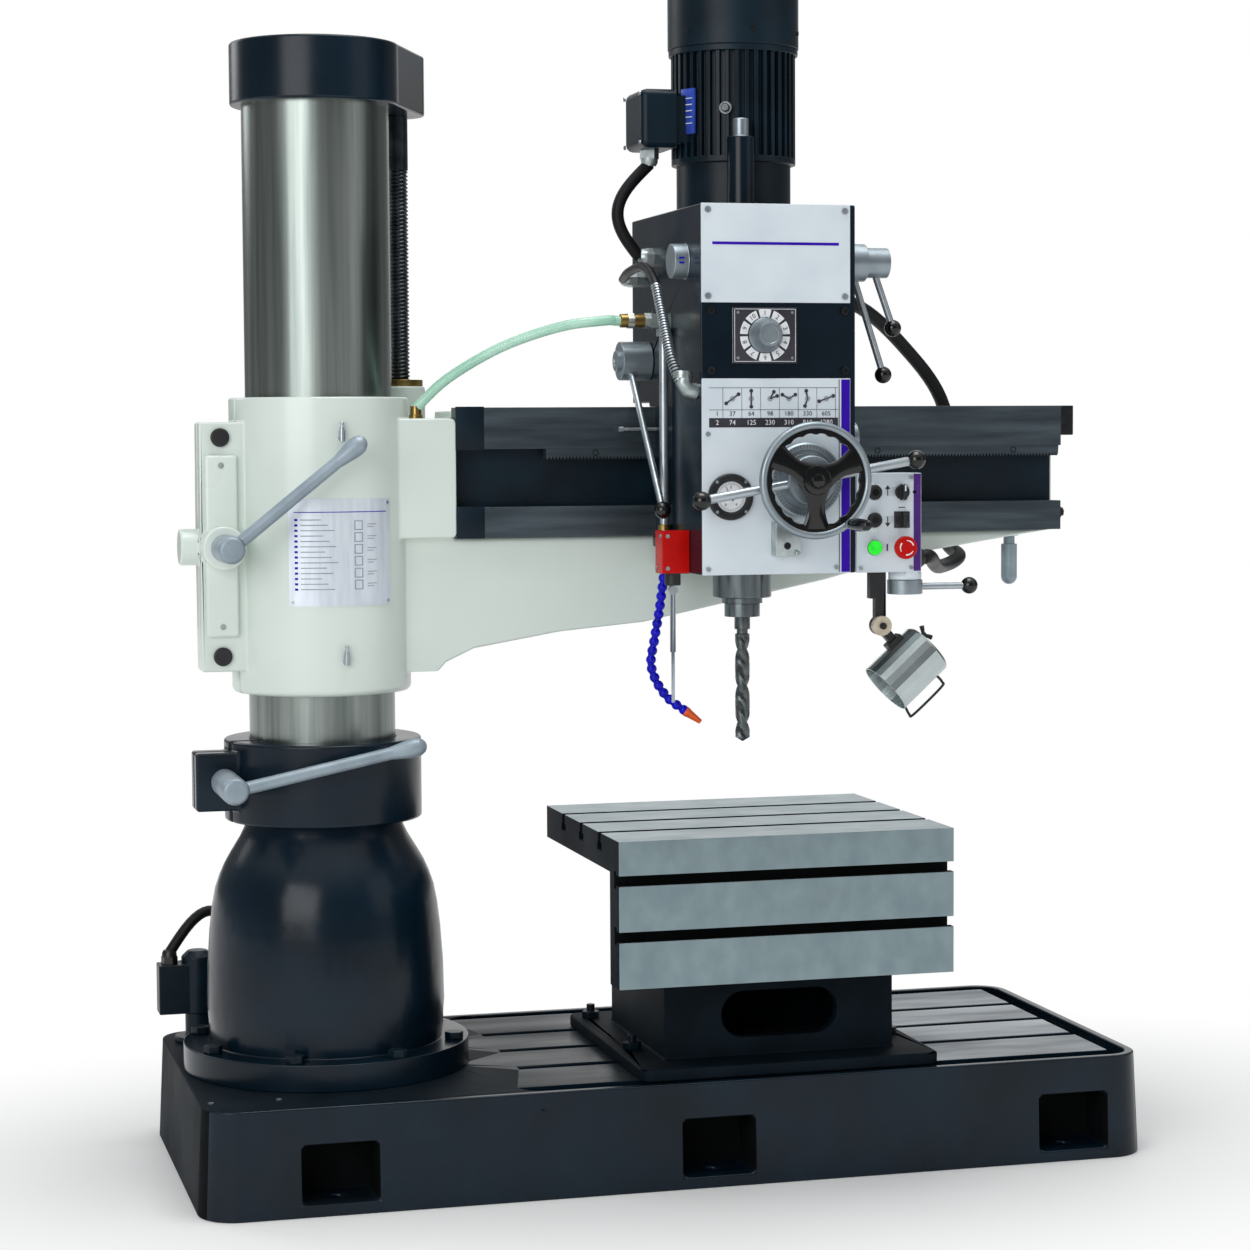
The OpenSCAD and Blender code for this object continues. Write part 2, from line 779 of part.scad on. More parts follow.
module pear(r, p, s, z0, z1)
{
  turn = atan2(p[1], p[0]);
  lift = acos((r - s) / norm(p));
  post(0, 0, z0, z1, r);
  post(p[0], p[1], z0, z1, s);
  translate([0, 0, z0]) linear_extrude(z1 - z0) polygon([spot(r * inside_share, turn + lift),
    p + spot(s * inside_share, turn + lift), p + spot(s * inside_share, turn - lift),
    spot(r * inside_share, turn - lift)]);
}
inside_share = 0.992;
flank_deg = 20;
tip_share = 0.95;
foot_share = 1.25;
to_deg = half_turn / PI;
function inv(a) = tan(a) * to_deg - a;
function tooth_half(r, pr, n) = let(br = pr * cos(flank_deg), q = max(r, br))
  half_turn / 2 / n - tooth_play / pr / 4 * to_deg + inv(flank_deg) - inv(acos(br / q));
function spot(r, a) = [r * cos(a), r * sin(a)];
function gear_points(n, m) = let(pr = m * n / 2, radii = [pr - foot_share * m, pr - m / 2, pr, pr + m / 2, pr + m * tip_share])
  [for (k = [0:n - 1]) each concat(
    [for (r = radii) spot(r, k * 360 / n - tooth_half(r, pr, n))],
    [for (i = [4:-1:0]) spot(radii[i], k * 360 / n + tooth_half(radii[i], pr, n))])];
function rack_half(h) = rack_step / 4 - tooth_play / 4 - h * tan(flank_deg);
function rack_points(first, count, back) = concat([[first - rack_step / 2, back]],
  [for (k = [0:count - 1]) each [[first + k * rack_step - rack_half(-foot_share * tooth_mod), -foot_share * tooth_mod],
    [first + k * rack_step - rack_half(tip_share * tooth_mod), tip_share * tooth_mod],
    [first + k * rack_step + rack_half(tip_share * tooth_mod), tip_share * tooth_mod],
    [first + k * rack_step + rack_half(-foot_share * tooth_mod), -foot_share * tooth_mod]]],
  [[first + (count - 1) * rack_step + rack_step / 2, back]]);

module slab(pts, y0, y1) translate([0, y1, 0]) rotate([90, 0, 0]) linear_extrude(y1 - y0) polygon(pts);
module t_slot_x(x0, x1, y, top, neck, neck_depth, head, head_h)
{
  bar(x0, x1, y - neck / 2, y + neck / 2, top - neck_depth - join, top + join);
  bar(x0, x1, y - head / 2, y + head / 2, top - neck_depth - head_h, top - neck_depth);
}
module hex_bolt(x, y, z, af, head_h) translate([x, y, z]) cylinder(d = af / cos(30), h = head_h, $fn = 6);
function on_ring(r, i, n) = [r * cos(360 * (i + half_share) / n), r * sin(360 * (i + half_share) / n)];
flange_bolts = 8;
stud_r = slot_neck * 0.36;
stud_xs = [stand_left - foot_side * half_share, stand_left + stand_len + foot_side * half_share];
stud_ys = [-bed_slot_pitch, bed_slot_pitch];

module base_casting() color("#2a3540") difference()
{
  hull() for (x = [base_left + base_corner, base_right - base_corner]) for (s = [-1, 1])
    translate([x, s * (base_half - base_corner), 0])
      cylinder(r1 = base_corner + base_draft, r2 = base_corner, h = base_h, $fn = hull_fn);
  translate([0, 0, base_h - gutter_depth]) linear_extrude(gutter_depth + join) difference()
  {
    round_plate(bed_left, base_right - rim_wid, -base_half + rim_wid, base_half - rim_wid, base_corner - rim_wid);
    translate([bed_left - join, -bed_half]) square([bed_right - bed_left + join, 2 * bed_half]);
  }
  for (i = [-1:1]) t_slot_x(bed_left + slot_head, bed_right + join, i * bed_slot_pitch, base_h,
    slot_neck, slot_neck_depth, slot_head, slot_head_h);
  for (i = [0:2]) for (s = [-1, 1])
  {
    x = niche_first + i * niche_pitch;
    y = s * (base_half - niche_depth * half_share);
    bar(x - niche_wid / 2, x + niche_wid / 2, y - niche_depth / 2 - (s < 0 ? niche_depth : 0),
      y + niche_depth / 2 + (s > 0 ? niche_depth : 0), niche_floor, niche_floor + niche_h);
    post(x, y, -join, niche_floor + join, anchor_hole / 2);
  }
  for (i = [0, 1]) for (s = [-1, 1])
  {
    x0 = niche_first + i * niche_pitch + niche_wid / 2 + base_wall;
    x1 = niche_first + (i + 1) * niche_pitch - niche_wid / 2 - base_wall;
    y0 = base_wall * half_share;
    y1 = base_half - base_wall;
    bar(x0, x1, s > 0 ? y0 : -y1, s > 0 ? y1 : -y0, -join, cell_h);
  }
  for (i = [0:flange_bolts - 1])
    post(on_ring(flange_bolt_r, i, flange_bolts)[0], on_ring(flange_bolt_r, i, flange_bolts)[1],
      base_h - bolt_grip, base_h + join, bolt_dia / 2);
}

bell_rise_shares = [0, 0.17, 0.34, 0.5, 0.61, 0.69, 0.75, 0.80, 0.84, 0.88, 0.92, 0.96, 1];
bell_wide_shares = [0.93, 1, 0.98, 0.92, 0.85, 0.77, 0.66, 0.54, 0.42, 0.29, 0.16, 0.06, 0];
module column_pedestal() color("#2a3540") difference()
{
  rotate_extrude() polygon(concat([[post_r, base_h], [flange_r, base_h], [flange_r, bell_low]],
    [for (i = [0:12]) [neck_r + (bell_r - neck_r) * bell_wide_shares[i], bell_low + bell_h * bell_rise_shares[i]]],
    [[post_r, bell_top]]));
  rotate_extrude() polygon([[post_r + column_wall, base_h - join], [bell_r - column_wall, base_h - join],
    [bell_r - column_wall, bell_low + bell_h * half_share], [post_r + column_wall, bell_low + bell_h * half_share]]);
  for (i = [0:flange_bolts - 1])
    post(on_ring(flange_bolt_r, i, flange_bolts)[0], on_ring(flange_bolt_r, i, flange_bolts)[1],
      base_h - join, bell_low + join, bolt_dia / 2);
}

module base_bolts() color("#5a6268")
{
  for (i = [0:flange_bolts - 1])
  {
    p = on_ring(flange_bolt_r, i, flange_bolts);
    hex_bolt(p[0], p[1], bell_low, bolt_af, bolt_head_h);
    post(p[0], p[1], base_h - bolt_grip, bell_low + join, bolt_dia / 2);
  }
  for (x = stud_xs) for (y = stud_ys)
  {
    bar(x - slot_head * half_share, x + slot_head * half_share, y - slot_head * half_share + join,
      y + slot_head * half_share - join, base_h - slot_depth + join, base_h - slot_neck_depth);
    post(x, y, base_h - slot_neck_depth - join, foot_top + bolt_head_h * 2, stud_r);
    hex_bolt(x, y, foot_top, bolt_af, bolt_head_h);
  }
}

module inner_post() color("#6c757a") difference()
{
  post(0, 0, base_h, column_top - cap_roof, post_r);
  post(0, 0, base_h - join, column_top, post_r - post_wall);
}

module column_bearing() color("#9aa4aa")
{
  difference()
  {
    post(0, 0, bell_top, bell_top + bearing_h, column_r - join);
    post(0, 0, bell_top - join, bell_top + bearing_h + join, post_r);
  }
  difference()
  {
    post(0, 0, column_top - 2 * top_ring_h, column_top - top_ring_h, bore_r - run_gap);
    post(0, 0, column_top - 2 * top_ring_h - join, column_top - top_ring_h + join, post_r);
  }
}

column_pivot_z = bell_top + column_pivot_rise;
module split_ear(reach, z0, z1) bar(-reach, 0, -ear_front, -ear_rear, z0, z1);
module clamp_collar() color("#2a3540") difference()
{
  union()
  {
    post(0, 0, bell_top, collar_top, collar_r);
    split_ear(collar_ear_reach, column_pivot_z - collar_ear_h / 2, column_pivot_z + collar_ear_h / 2);
  }
  post(0, 0, bell_top - join, collar_top + join, column_r + run_gap);
  bar(-collar_ear_reach - join, 0, -split_front, -split_front + split_wid, bell_top - join, collar_top + join);
  pin_y(-clamp_pivot, column_pivot_z, -ear_front - join, -split_front + join, clamp_pin_r + run_gap);
}

grip_shares = [[0.3, 0.83], [0.5, 0.96], [0.66, 1], [0.8, 0.94], [0.92, 0.68], [0.98, 0.36]];
module clamp_lever(z, len, slope, face)
{
  pin_y(-clamp_pivot, z, clamp_y - clamp_rod_r * 1.4, -face - slide_gap, clamp_hub_r);
  pin_y(-clamp_pivot, z, clamp_y, -split_front - slide_gap, clamp_pin_r);
  translate([-clamp_pivot, clamp_y, z]) rotate([0, 90 - slope, 0]) rotate_extrude($fn = 32) polygon(concat(
    [[0, 0], [clamp_rod_r, 0], [clamp_rod_r, len - clamp_grip_len]],
    [for (q = grip_shares) [clamp_grip_r * q[1], len - clamp_grip_len * (1 - q[0])]],
    [[0, len]]));
}
module column_clamp_lever() color("#96a5b4")
  clamp_lever(column_pivot_z, column_lever_len, column_lever_slope, ear_front);

module work_table() color("#8ca0a5") difference()
{
  union()
  {
    bar(table_left, table_right, -table_front, table_rear, stand_top, table_top);
    bar(table_left, table_right, -table_front, -table_front + table_face, table_top - table_h, table_top);
  }
  for (i = [1:3]) t_slot_x(table_left - join, table_right + join, -table_front + i * table_pitch, table_top,
    table_neck, table_neck_depth, table_head, table_head_h);
  for (i = [0, 1])
  {
    z = table_top - face_slot_first - i * face_slot_pitch;
    bar(table_left - join, table_right + join, -table_front - join, -table_front + table_neck_depth + join,
      z - table_neck / 2, z + table_neck / 2);
    bar(table_left - join, table_right + join, -table_front + table_neck_depth,
      -table_front + table_neck_depth + table_head_h, z - table_head / 2, z + table_head / 2);
  }
}

module table_stand() color("#20272f") difference()
{
  union()
  {
    bar(stand_left, stand_left + stand_len, stand_front, stand_rear, base_h, stand_top);
    translate([0, 0, base_h]) linear_extrude(foot_h) round_plate(stand_left - foot_side,
      stand_left + stand_len + foot_side, stand_front - foot_front, stand_rear + foot_rear, foot_side / 3);
  }
  bar(stand_left + stand_wall, stand_left + stand_len - stand_wall, stand_front + stand_wall,
    stand_rear - stand_wall, base_h - join, stand_top + join);
  slab_y0 = stand_front - join;
  port_x0 = stand_left + (stand_len - port_len) / 2 + port_h / 2;
  port_x1 = port_x0 + port_len - port_h;
  port_z = foot_top + port_low + port_h / 2;
  slab_y1 = stand_front + stand_wall + join;
  pin_y(port_x0, port_z, slab_y0, slab_y1, port_h / 2);
  pin_y(port_x1, port_z, slab_y0, slab_y1, port_h / 2);
  bar(port_x0, port_x1, slab_y0, slab_y1, port_z - port_h / 2, port_z + port_h / 2);
  for (x = stud_xs) for (y = stud_ys) post(x, y, base_h - join, foot_top + join, stud_r + slide_gap);
}

pump_px = -pump_x;
pump_box_x = pump_px - pump_r - pump_box_wid / 2;
module coolant_pump() color("#2a3540")
{
  post(pump_px, pump_y, base_h, base_h + foot_h * half_share, pump_flange_r);
  post(pump_px, pump_y, base_h, pump_z + join, pump_r * 0.8);
  post(pump_px, pump_y, pump_z, pump_z + pump_h, pump_r);
  translate([pump_px, pump_y, pump_z + pump_h]) cylinder(r1 = pump_r, r2 = pump_r * 0.6, h = pump_r * 0.4);
  bar(pump_box_x - pump_box_wid / 2, pump_px - pump_r * half_share, pump_y - pump_r * 0.8, pump_y + pump_r * 0.8,
    pump_z, pump_z + pump_box_h);
}

module pump_cable() color("#0f0f12")
{
  a = [pump_box_x, pump_y, pump_z + pump_box_h];
  b = [pump_box_x + pump_x, pump_y + pump_r, base_h];
  up = [0, 0, pump_cable_r * 2];
  post(a[0], a[1], a[2], a[2] + up[2], pump_cable_r * 1.4);
  post(b[0], b[1], b[2], b[2] + up[2], pump_cable_r * 1.4);
  route(bow(a + up, b + up, [0, 0, pump_cable_rise], 12), pump_cable_r);
}

module outer_column() color("#a9b2b6") difference()
{
  post(0, 0, column_low, column_top, column_r);
  post(0, 0, column_low - join, column_top + join, bore_r);
}

module column_cap() color("#2a3540") difference()
{
  pear(cap_r, [screw_x, screw_y], cap_tail_r, column_top, cap_top);
  post(0, 0, column_top - join, cap_top - cap_roof, bore_r);
  post(screw_x, screw_y, column_top - join, column_top + journal_len, journal_dia / 2 + run_gap);
}

module lift_motor() color("#3c4650")
{
  post(0, 0, cap_top - cap_roof - lift_motor_len, cap_top - cap_roof, lift_motor_r);
  post(0, 0, cap_top - cap_roof - bearing_h, cap_top - cap_roof, bore_r - column_wall / 3);
}

module elevating_screw() color("#8b949a")
{
  post(screw_x, screw_y, column_top - screw_len, column_top - slide_gap, screw_dia / 2);
  post(screw_x, screw_y, column_top - join, column_top + journal_len - slide_gap, journal_dia / 2);
}

reach_shares = [0.1424, 0.1526, 0.19, 0.3044, 0.418, 0.6696, 0.7997, 0.9385, 1];
root_shares = [0, 0.24, 0.6, 1];
out_shares = [0.081, 0.494, 0.7616, 0.93, 1];
function belly(i) = i < 4 ? root_low + (belly_low - root_low) * root_shares[i]
  : belly_low + (way_low - belly_low) * out_shares[i - 4];
belly_pts = [for (i = [0:8]) [arm_reach * reach_shares[i], belly(i)]];
beam_top = way_top - way_depth / 8;
handle_x = arm_reach - handle_inset;
handle_top = way_low - handle_r;
pocket_shares = [[0.215, 0.44], [0.47, 0.70], [0.73, 0.96]];
pocket_lows = [belly(4) + way_depth, belly(6) + way_depth / 2, way_low + way_depth / 4];
module arm_casting() color("#dfe6dc") difference()
{
  union()
  {
    post(0, 0, sleeve_low, sleeve_top, sleeve_r);
    split_ear(arm_ear_reach, arm_ear_low, arm_ear_low + arm_ear_h);
    pin_y(-clamp_pivot, ear_mid, -ear_front - ear_boss_len, -ear_front + join, ear_boss_r);
    axle(-ear_front + side_boss_r, ear_mid, -arm_ear_reach - side_boss_len, -arm_ear_reach + join, side_boss_r);
    bar(0, way_left, -way_front, arm_rear, way_low, root_top);
    slab(concat([[0, root_low]], belly_pts, [[arm_reach, way_low + join], [0, way_low + join]]), belly_y, arm_rear);
    bar(way_left - join, arm_reach, web_y, arm_rear, way_low, beam_top);
    post(screw_x, screw_y, boss_top - nut_boss_len, boss_top, nut_boss_r);
    bar(screw_x - nut_boss_r * 0.8, screw_x + nut_boss_r * 0.8, 0, screw_y, boss_top - nut_boss_len, root_top);
    post(handle_x, 0, handle_top, way_low + join, handle_r * 1.3);
  }
  post(0, 0, sleeve_low - join, sleeve_top + join, column_r + run_gap);
  bar(-arm_ear_reach - join, 0, -split_front, -split_front + split_wid, sleeve_low - join, sleeve_top + join);
  pin_y(-clamp_pivot, ear_mid, -ear_front - ear_boss_len - join, -split_front + join, clamp_pin_r + run_gap);
  post(screw_x, screw_y, boss_top - nut_h, boss_top + join, nut_r);
  post(screw_x, screw_y, boss_top - nut_boss_len - join, boss_top, screw_dia / 2 + free_gap);
  bar(way_left, arm_reach + join, belly_y - join, web_y, way_low, way_low + 2 * join);
  for (i = [0:2]) bar(arm_reach * pocket_shares[i][0], arm_reach * pocket_shares[i][1], web_y + web_wall,
    arm_rear + join, pocket_lows[i], beam_top - way_depth);
}

module arm_ways() color("#4b5558")
{
  bar(way_left, arm_reach, -way_front, web_y, upper_way_low, way_top);
  bar(way_left, arm_reach, -way_front, web_y, way_low, lower_way_top);
}

rack_first = feed_x + (ceil((rack_left - feed_x) / rack_step) + half_share) * rack_step;
rack_count = floor((arm_reach - rack_first) / rack_step);
module traverse_rack() color("#7d868b")
  slab([for (q = rack_points(rack_first, rack_count, rack_pitch_z - upper_way_low)) [q[0], rack_pitch_z - q[1]]],
    -way_front, -way_front + rack_depth);

module elevating_nut() color("#a98243") difference()
{
  union()
  {
    post(screw_x, screw_y, boss_top - nut_h, boss_top + join, nut_r);
    post(screw_x, screw_y, boss_top, boss_top + nut_flange_h, nut_flange_r);
  }
  post(screw_x, screw_y, boss_top - nut_h - join, boss_top + nut_flange_h + join, screw_dia / 2 + run_gap);
}

module clamp_plugs() color("#141518") for (z = [arm_ear_low + plug_edge, arm_ear_low + arm_ear_h - plug_edge])
  pin_y(-clamp_pivot, z, -ear_front - plug_h, -ear_front, plug_dia / 2);

module arm_end_stop() color("#141518")
  bar(arm_reach, arm_reach + stop_len, -way_front, web_y, way_top - stop_h, way_top);

module pull_handle() color("#96a5b4")
{
  post(handle_x, 0, handle_top - handle_len + handle_r, handle_top - handle_r, handle_r);
  post(handle_x, 0, handle_top - 2 * handle_r, handle_top, handle_r * 0.7);
  ball([handle_x, 0, handle_top - handle_len + handle_r], handle_r);
}

fitting_x = pipe_x - brass_r * 2 - brass_len;
module coolant_hose() color("#b4e1cd")
{
  a = [way_left * 0.72, -way_front * 0.6, root_top];
  b = [fitting_x - slide_gap, -pipe_y, valve_z];
  d = b - a;
  post(a[0], a[1], a[2], a[2] + 2 * hose_r, hose_r * 1.3);
  route(smooth([a + [0, 0, 2 * hose_r], a + [d[0] * 0.16, d[1] * 0.18, d[2] * 0.42],
    a + [d[0] * 0.42, d[1] * 0.5, d[2] * 0.74], a + [d[0] * 0.7, d[1] * 0.82, d[2] * 0.94],
    b - [brass_len * half_share, 0, 0], b - [hose_r, 0, 0], b], 3), hose_r);
}

module arm_clamp_lever() color("#96a5b4")
  clamp_lever(ear_mid, arm_lever_len, arm_lever_slope, ear_front + ear_boss_len);

dial_x = head_left + head_wid * 0.407;
dial_z = head_mid + dial_band_h * 0.57;
pocket_rear = sy - quill_r - head_wall;
lip_top = way_low - slide_gap * 2;
module head_casting() color("#2a3540") difference()
{
  union()
  {
    bar(head_left, head_right, face_y, saddle_y, head_low, head_mid + join);
    bar(head_left, head_right, face_y, gear_rear, head_mid, head_top);
    bar(head_left, head_right, saddle_y - join, gear_rear, gear_low, head_mid + join);
    bar(head_left, head_right, saddle_y - join, web_y, way_top + slide_gap, gear_low + join);
    bar(head_left, head_right, saddle_y - join, belly_y - free_gap, lip_top - head_wall, lip_top);
    post(sx, sy, head_low - bush_len, head_low + join, bush_r);
    post(sx, sy, head_top - join, head_top + head_wall * half_share, tube_r * 1.5);
    post(sx, sy, head_top - join, head_top + tube_h, tube_r);
    post(sx, sy, head_top + tube_h - join, head_top + tube_h + tube_plug_h, tube_plug_r);
    axle(-speed_y, speed_z, head_right - join, speed_base, speed_hub_r * 1.1);
    axle(-speed_y, speed_z, head_left - left_boss_len, head_left + join, left_boss_r);
  }
  difference()
  {
    bar(head_left + head_wall, head_right - head_wall, face_y - join, pocket_rear, head_low + head_wall,
      head_mid - head_wall);
    pin_y(feed_x, feed_z, face_y - 2 * join, pocket_rear + join, feed_sleeve_r * 1.5);
  }
  bar(head_left + head_wall, head_right - head_wall, face_y + head_wall, gear_rear - head_wall, cavity_low, cavity_top);
  post(sx, sy, head_low - bush_len - join, cavity_low + join, quill_r + run_gap);
  post(sx, sy, cavity_top - join, head_top, sleeve_hub_r + run_gap);
  post(sx, sy, head_top - join, head_top + tube_h - head_wall * half_share, spindle_r + free_gap);
  post(mx, my, cavity_top - join, head_top + join, rotor_shaft_r * 2);
  pin_y(feed_x, feed_z, face_y - 2 * join, sy, feed_sleeve_r + run_gap);
  pin_y(feed_x, feed_z, sy - pinion_wid / 2 - free_gap, sy + pinion_wid / 2 + free_gap, feed_sleeve_r + free_gap);
  pin_y(feed_x, feed_z, sy, saddle_y + join, traverse_shaft_r + run_gap);
  pin_y(dial_x, dial_z, face_y - join, face_y + head_wall + join, stem_r + run_gap);
  axle(-speed_y, speed_z, head_right - head_wall * 0.7, speed_base + join, stem_r + run_gap);
  axle(-head_clamp_y, clamp_hz, head_left - join, head_left + head_wall * 0.8, clamp_pin_r + run_gap);
}

panel_inset = head_wid * 0.04;
module front_panels() color("#cdd7de")
{
  difference()
  {
    bar(head_left, head_right - panel_inset, panel_y, face_y, head_low, head_mid);
    pin_y(feed_x, feed_z, panel_y - join, face_y + join, feed_sleeve_r + free_gap);
  }
  bar(head_left, head_right - panel_inset, panel_y, face_y, dial_top, head_top);
  difference()
  {
    bar(head_left + head_wid * 0.2, head_left + head_wid * 0.615, face_y - panel_t * half_share, face_y,
      head_mid + dial_band_h * 0.2, head_mid + dial_band_h * 0.94);
    pin_y(dial_x, dial_z, panel_y - join, face_y + join, stem_r + free_gap);
  }
}

module depth_gauge() color("#1a1b1e")
  pin_y(head_left + gauge_inset, feed_z - gauge_drop, panel_y - panel_t, panel_y, gauge_r);

fin_count = 40;
terminal_x0 = mx - motor_r - terminal_reach;
module motor_frame() color("#2a3540") difference()
{
  union()
  {
    post(mx, my, head_top, adaptor_top + join, adaptor_r);
    post(mx, my, motor_top - fin_h, motor_top, cowl_r - cowl_wall * half_share);
    difference()
    {
      post(mx, my, adaptor_top, motor_top, motor_r);
      for (i = [0:fin_count - 1]) translate([mx, my, 0]) rotate([0, 0, 360 * i / fin_count])
        bar(motor_r - fin_h, motor_r + join, -fin_h * 0.45, fin_h * 0.45, adaptor_top + fin_h, motor_top - fin_h);
    }
    bar(terminal_x0, mx - motor_r - fin_h, my - terminal_wid / 2, my + terminal_wid / 2,
      terminal_low, terminal_low + terminal_h);
    bar(mx - motor_r - fin_h - join, mx - motor_r + 2 * fin_h, my - terminal_wid * 0.4, my + terminal_wid * 0.4,
      terminal_low + fin_h, terminal_low + terminal_h - fin_h);
  }
  post(mx, my, head_top - join, motor_top + join, rotor_shaft_r + run_gap);
  post(mx, my, adaptor_top + fin_h, motor_top - fin_h, rotor_r + free_gap);
}

cowl_hole_r = cowl_r / 14;
module fan_cowl() color("#232c35") difference()
{
  post(mx, my, motor_top, cowl_top, cowl_r);
  post(mx, my, motor_top - join, cowl_top - cowl_wall, cowl_r - cowl_wall);
  for (k = [0.3, 0.52, 0.74]) for (i = [0:11]) translate([mx, my, cowl_top - 2 * cowl_wall]) rotate([0, 0, 30 * i])
    translate([cowl_r * k, 0, 0]) cylinder(r = cowl_hole_r * (k + 0.26), h = 3 * cowl_wall, $fn = 24);
}

gland_len = motor_cable_r * 2.2;
module motor_cable() color("#0f0f12")
{
  a = [terminal_x0 + terminal_reach * 0.4, my, terminal_low - gland_len];
  b = [head_left - gland_len, my, head_top - upper_panel_h * 0.44];
  post(a[0], a[1], a[2] - join, terminal_low, motor_cable_r * 1.4);
  axle(b[1], b[2], b[0] - join, head_left, motor_cable_r * 1.4);
  route(bow(a, b, [-motor_cable_bow * 0.75, 0, 0], 12), motor_cable_r);
}

module sensor_conduit() color("#8f989c")
{
  a = [head_left - gland_len, gear_rear * half_share, head_top - upper_panel_h * 0.64];
  b = [head_left - gland_len, panel_y + switch_depth * 0.75, head_mid - gland_len * half_share];
  axle(a[1], a[2], a[0] - join, head_left, conduit_r * 1.4);
  axle(b[1], b[2], b[0] - join, head_left, conduit_r * 1.5);
  d = b - a;
  out = [-conduit_bow * half_share, 0, 0];
  route(smooth([a, a + [0, d[1] * 0.25, -d[2] * 0.04] + out, a + [0, d[1] * 0.5, -d[2] * 0.06] + out,
    a + [0, d[1] * 0.68, d[2] * 0.08] + out, a + [0, d[1] * 0.8, d[2] * 0.36] + out,
    a + [0, d[1] * 0.93, d[2] * 0.72] + out, a + [0, d[1] * 0.99, d[2] * 0.92] + out * half_share, b], 4), conduit_r);
}

module head_cable() color("#0f0f12")
{
  a = [head_right + gland_len, gear_rear * half_share, dial_top + head_wall];
  b = [box_right + gland_len, box_rear - head_wall, box_low + button_low * half_share];
  far = head_right + head_cable_reach;
  back = arm_rear + head_cable_rear;
  axle(a[1], a[2], head_right, a[0] + join, head_cable_r * 1.4);
  axle(b[1], b[2], box_right, b[0] + join, head_cable_r * 1.4);
  drop = head_cable_r + head_cable_gap;
  low = lookup(far * 0.97, belly_pts) - drop;
  route(smooth([a, [head_right + head_cable_reach * 0.4, a[1] + head_cable_rear * half_share, a[2]],
    [head_right + head_cable_reach * 0.75, back * 0.9, a[2] - head_cable_dip * 0.5],
    [far * 0.99, back, way_top], [far, back, low + head_cable_dip * 0.75], [far * 0.99, back * 0.9, low + head_cable_r * 2],
    [far * 0.97, 0, low], [far * 0.9, web_y * 2, lookup(far * 0.9, belly_pts) - drop],
    [b[0] + gland_len, b[1] + gland_len, b[2]], b], 4), head_cable_r);
}

module control_box() color("#d5dde2") difference()
{
  union()
  {
    bar(box_left, box_right, panel_y, box_rear, box_low, box_top);
    for (p = [[col_a, row_a], [col_a, row_b], [col_a, row_c], [col_b, row_a]])
      pin_y(p[0], p[1], panel_y - button_h * half_share, panel_y + join, button_r);
    post(start_x, start_y, start_top, box_low + join, start_ring_r - free_gap);
  }
  bar(box_left + cowl_wall, box_right - cowl_wall, panel_y + button_h, box_rear - cowl_wall, box_low + button_h,
    box_top - cowl_wall);
  for (x = [col_a, col_b]) for (z = [row_a, row_b, row_c])
    pin_y(x, z, panel_y - button_h, panel_y + 2 * button_h, stem_r + run_gap);
  for (z = [row_a, row_b, row_c]) pin_y(col_a, z, panel_y - button_h, panel_y, button_r * 0.85 + slide_gap);
  post(start_x, start_y, start_top - join, box_low + button_h + join, stem_r + run_gap);
}

module lamp_bracket() color("#141518") difference()
{
  union()
  {
    bar(lamp_x - lamp_stem, lamp_x + lamp_stem / 2, lamp_y - lamp_stem * 0.4, lamp_y + lamp_stem * 0.4,
      box_low - lamp_drop * half_share, box_low);
    bar(lamp_x - lamp_stem / 2, lamp_x + lamp_stem / 2, lamp_y - lamp_stem * 0.4, lamp_y + lamp_stem * 0.4,
      lamp_z - lamp_stem * 0.6, box_low - join);
  }
  pin_y(lamp_x, lamp_z, lamp_y - lamp_stem, lamp_y + lamp_stem, trip_r + run_gap);
}

module safety_switch() color("#c80a05")
{
  bar(head_left - switch_wid, head_left, switch_y, switch_y + switch_depth, head_low, head_low + switch_h);
  post(switch_x, trip_y, head_low - gland_h, head_low, gland_r);
}

module coolant_pipe() color("#8f989c")
{
  post(pipe_x, -pipe_y, head_low + brass_r, valve_z, pipe_r);
  post(pipe_x, -pipe_y, head_low + brass_len * half_share, head_low + brass_len * 1.5, brass_r);
  bar(pipe_x - brass_r * 2, head_left, -pipe_y - brass_r, -pipe_y + brass_r, valve_z - brass_r, valve_z + brass_r);
  axle(-pipe_y, valve_z, fitting_x, pipe_x - brass_r, brass_r);
}

module segment_hose() color("#0f0ac8")
{
  t = [pipe_x, -pipe_y, head_low + brass_r - seg_r];
  post(t[0], t[1], t[2] - seg_r, head_low + brass_r, seg_r * 1.1);
  e = t + [seg_side - seg_bow, 0, -seg_drop - seg_turn];
  pts = smooth([t, t + [-seg_bow * 0.35, 0, -seg_drop * 0.4], t + [-seg_bow * 0.75, 0, -seg_drop * 0.75],
    t + [-seg_bow, 0, -seg_drop], t + [-seg_bow * 0.6, 0, -seg_drop - seg_turn * 0.4],
    t + [seg_side * 0.1, 0, -seg_drop - seg_turn * 0.75], e], 4);
  route(pts, seg_r);
  strut(e, e + heading(pts, len(pts) - 1) * nozzle_len, seg_r, seg_r * half_share);
}

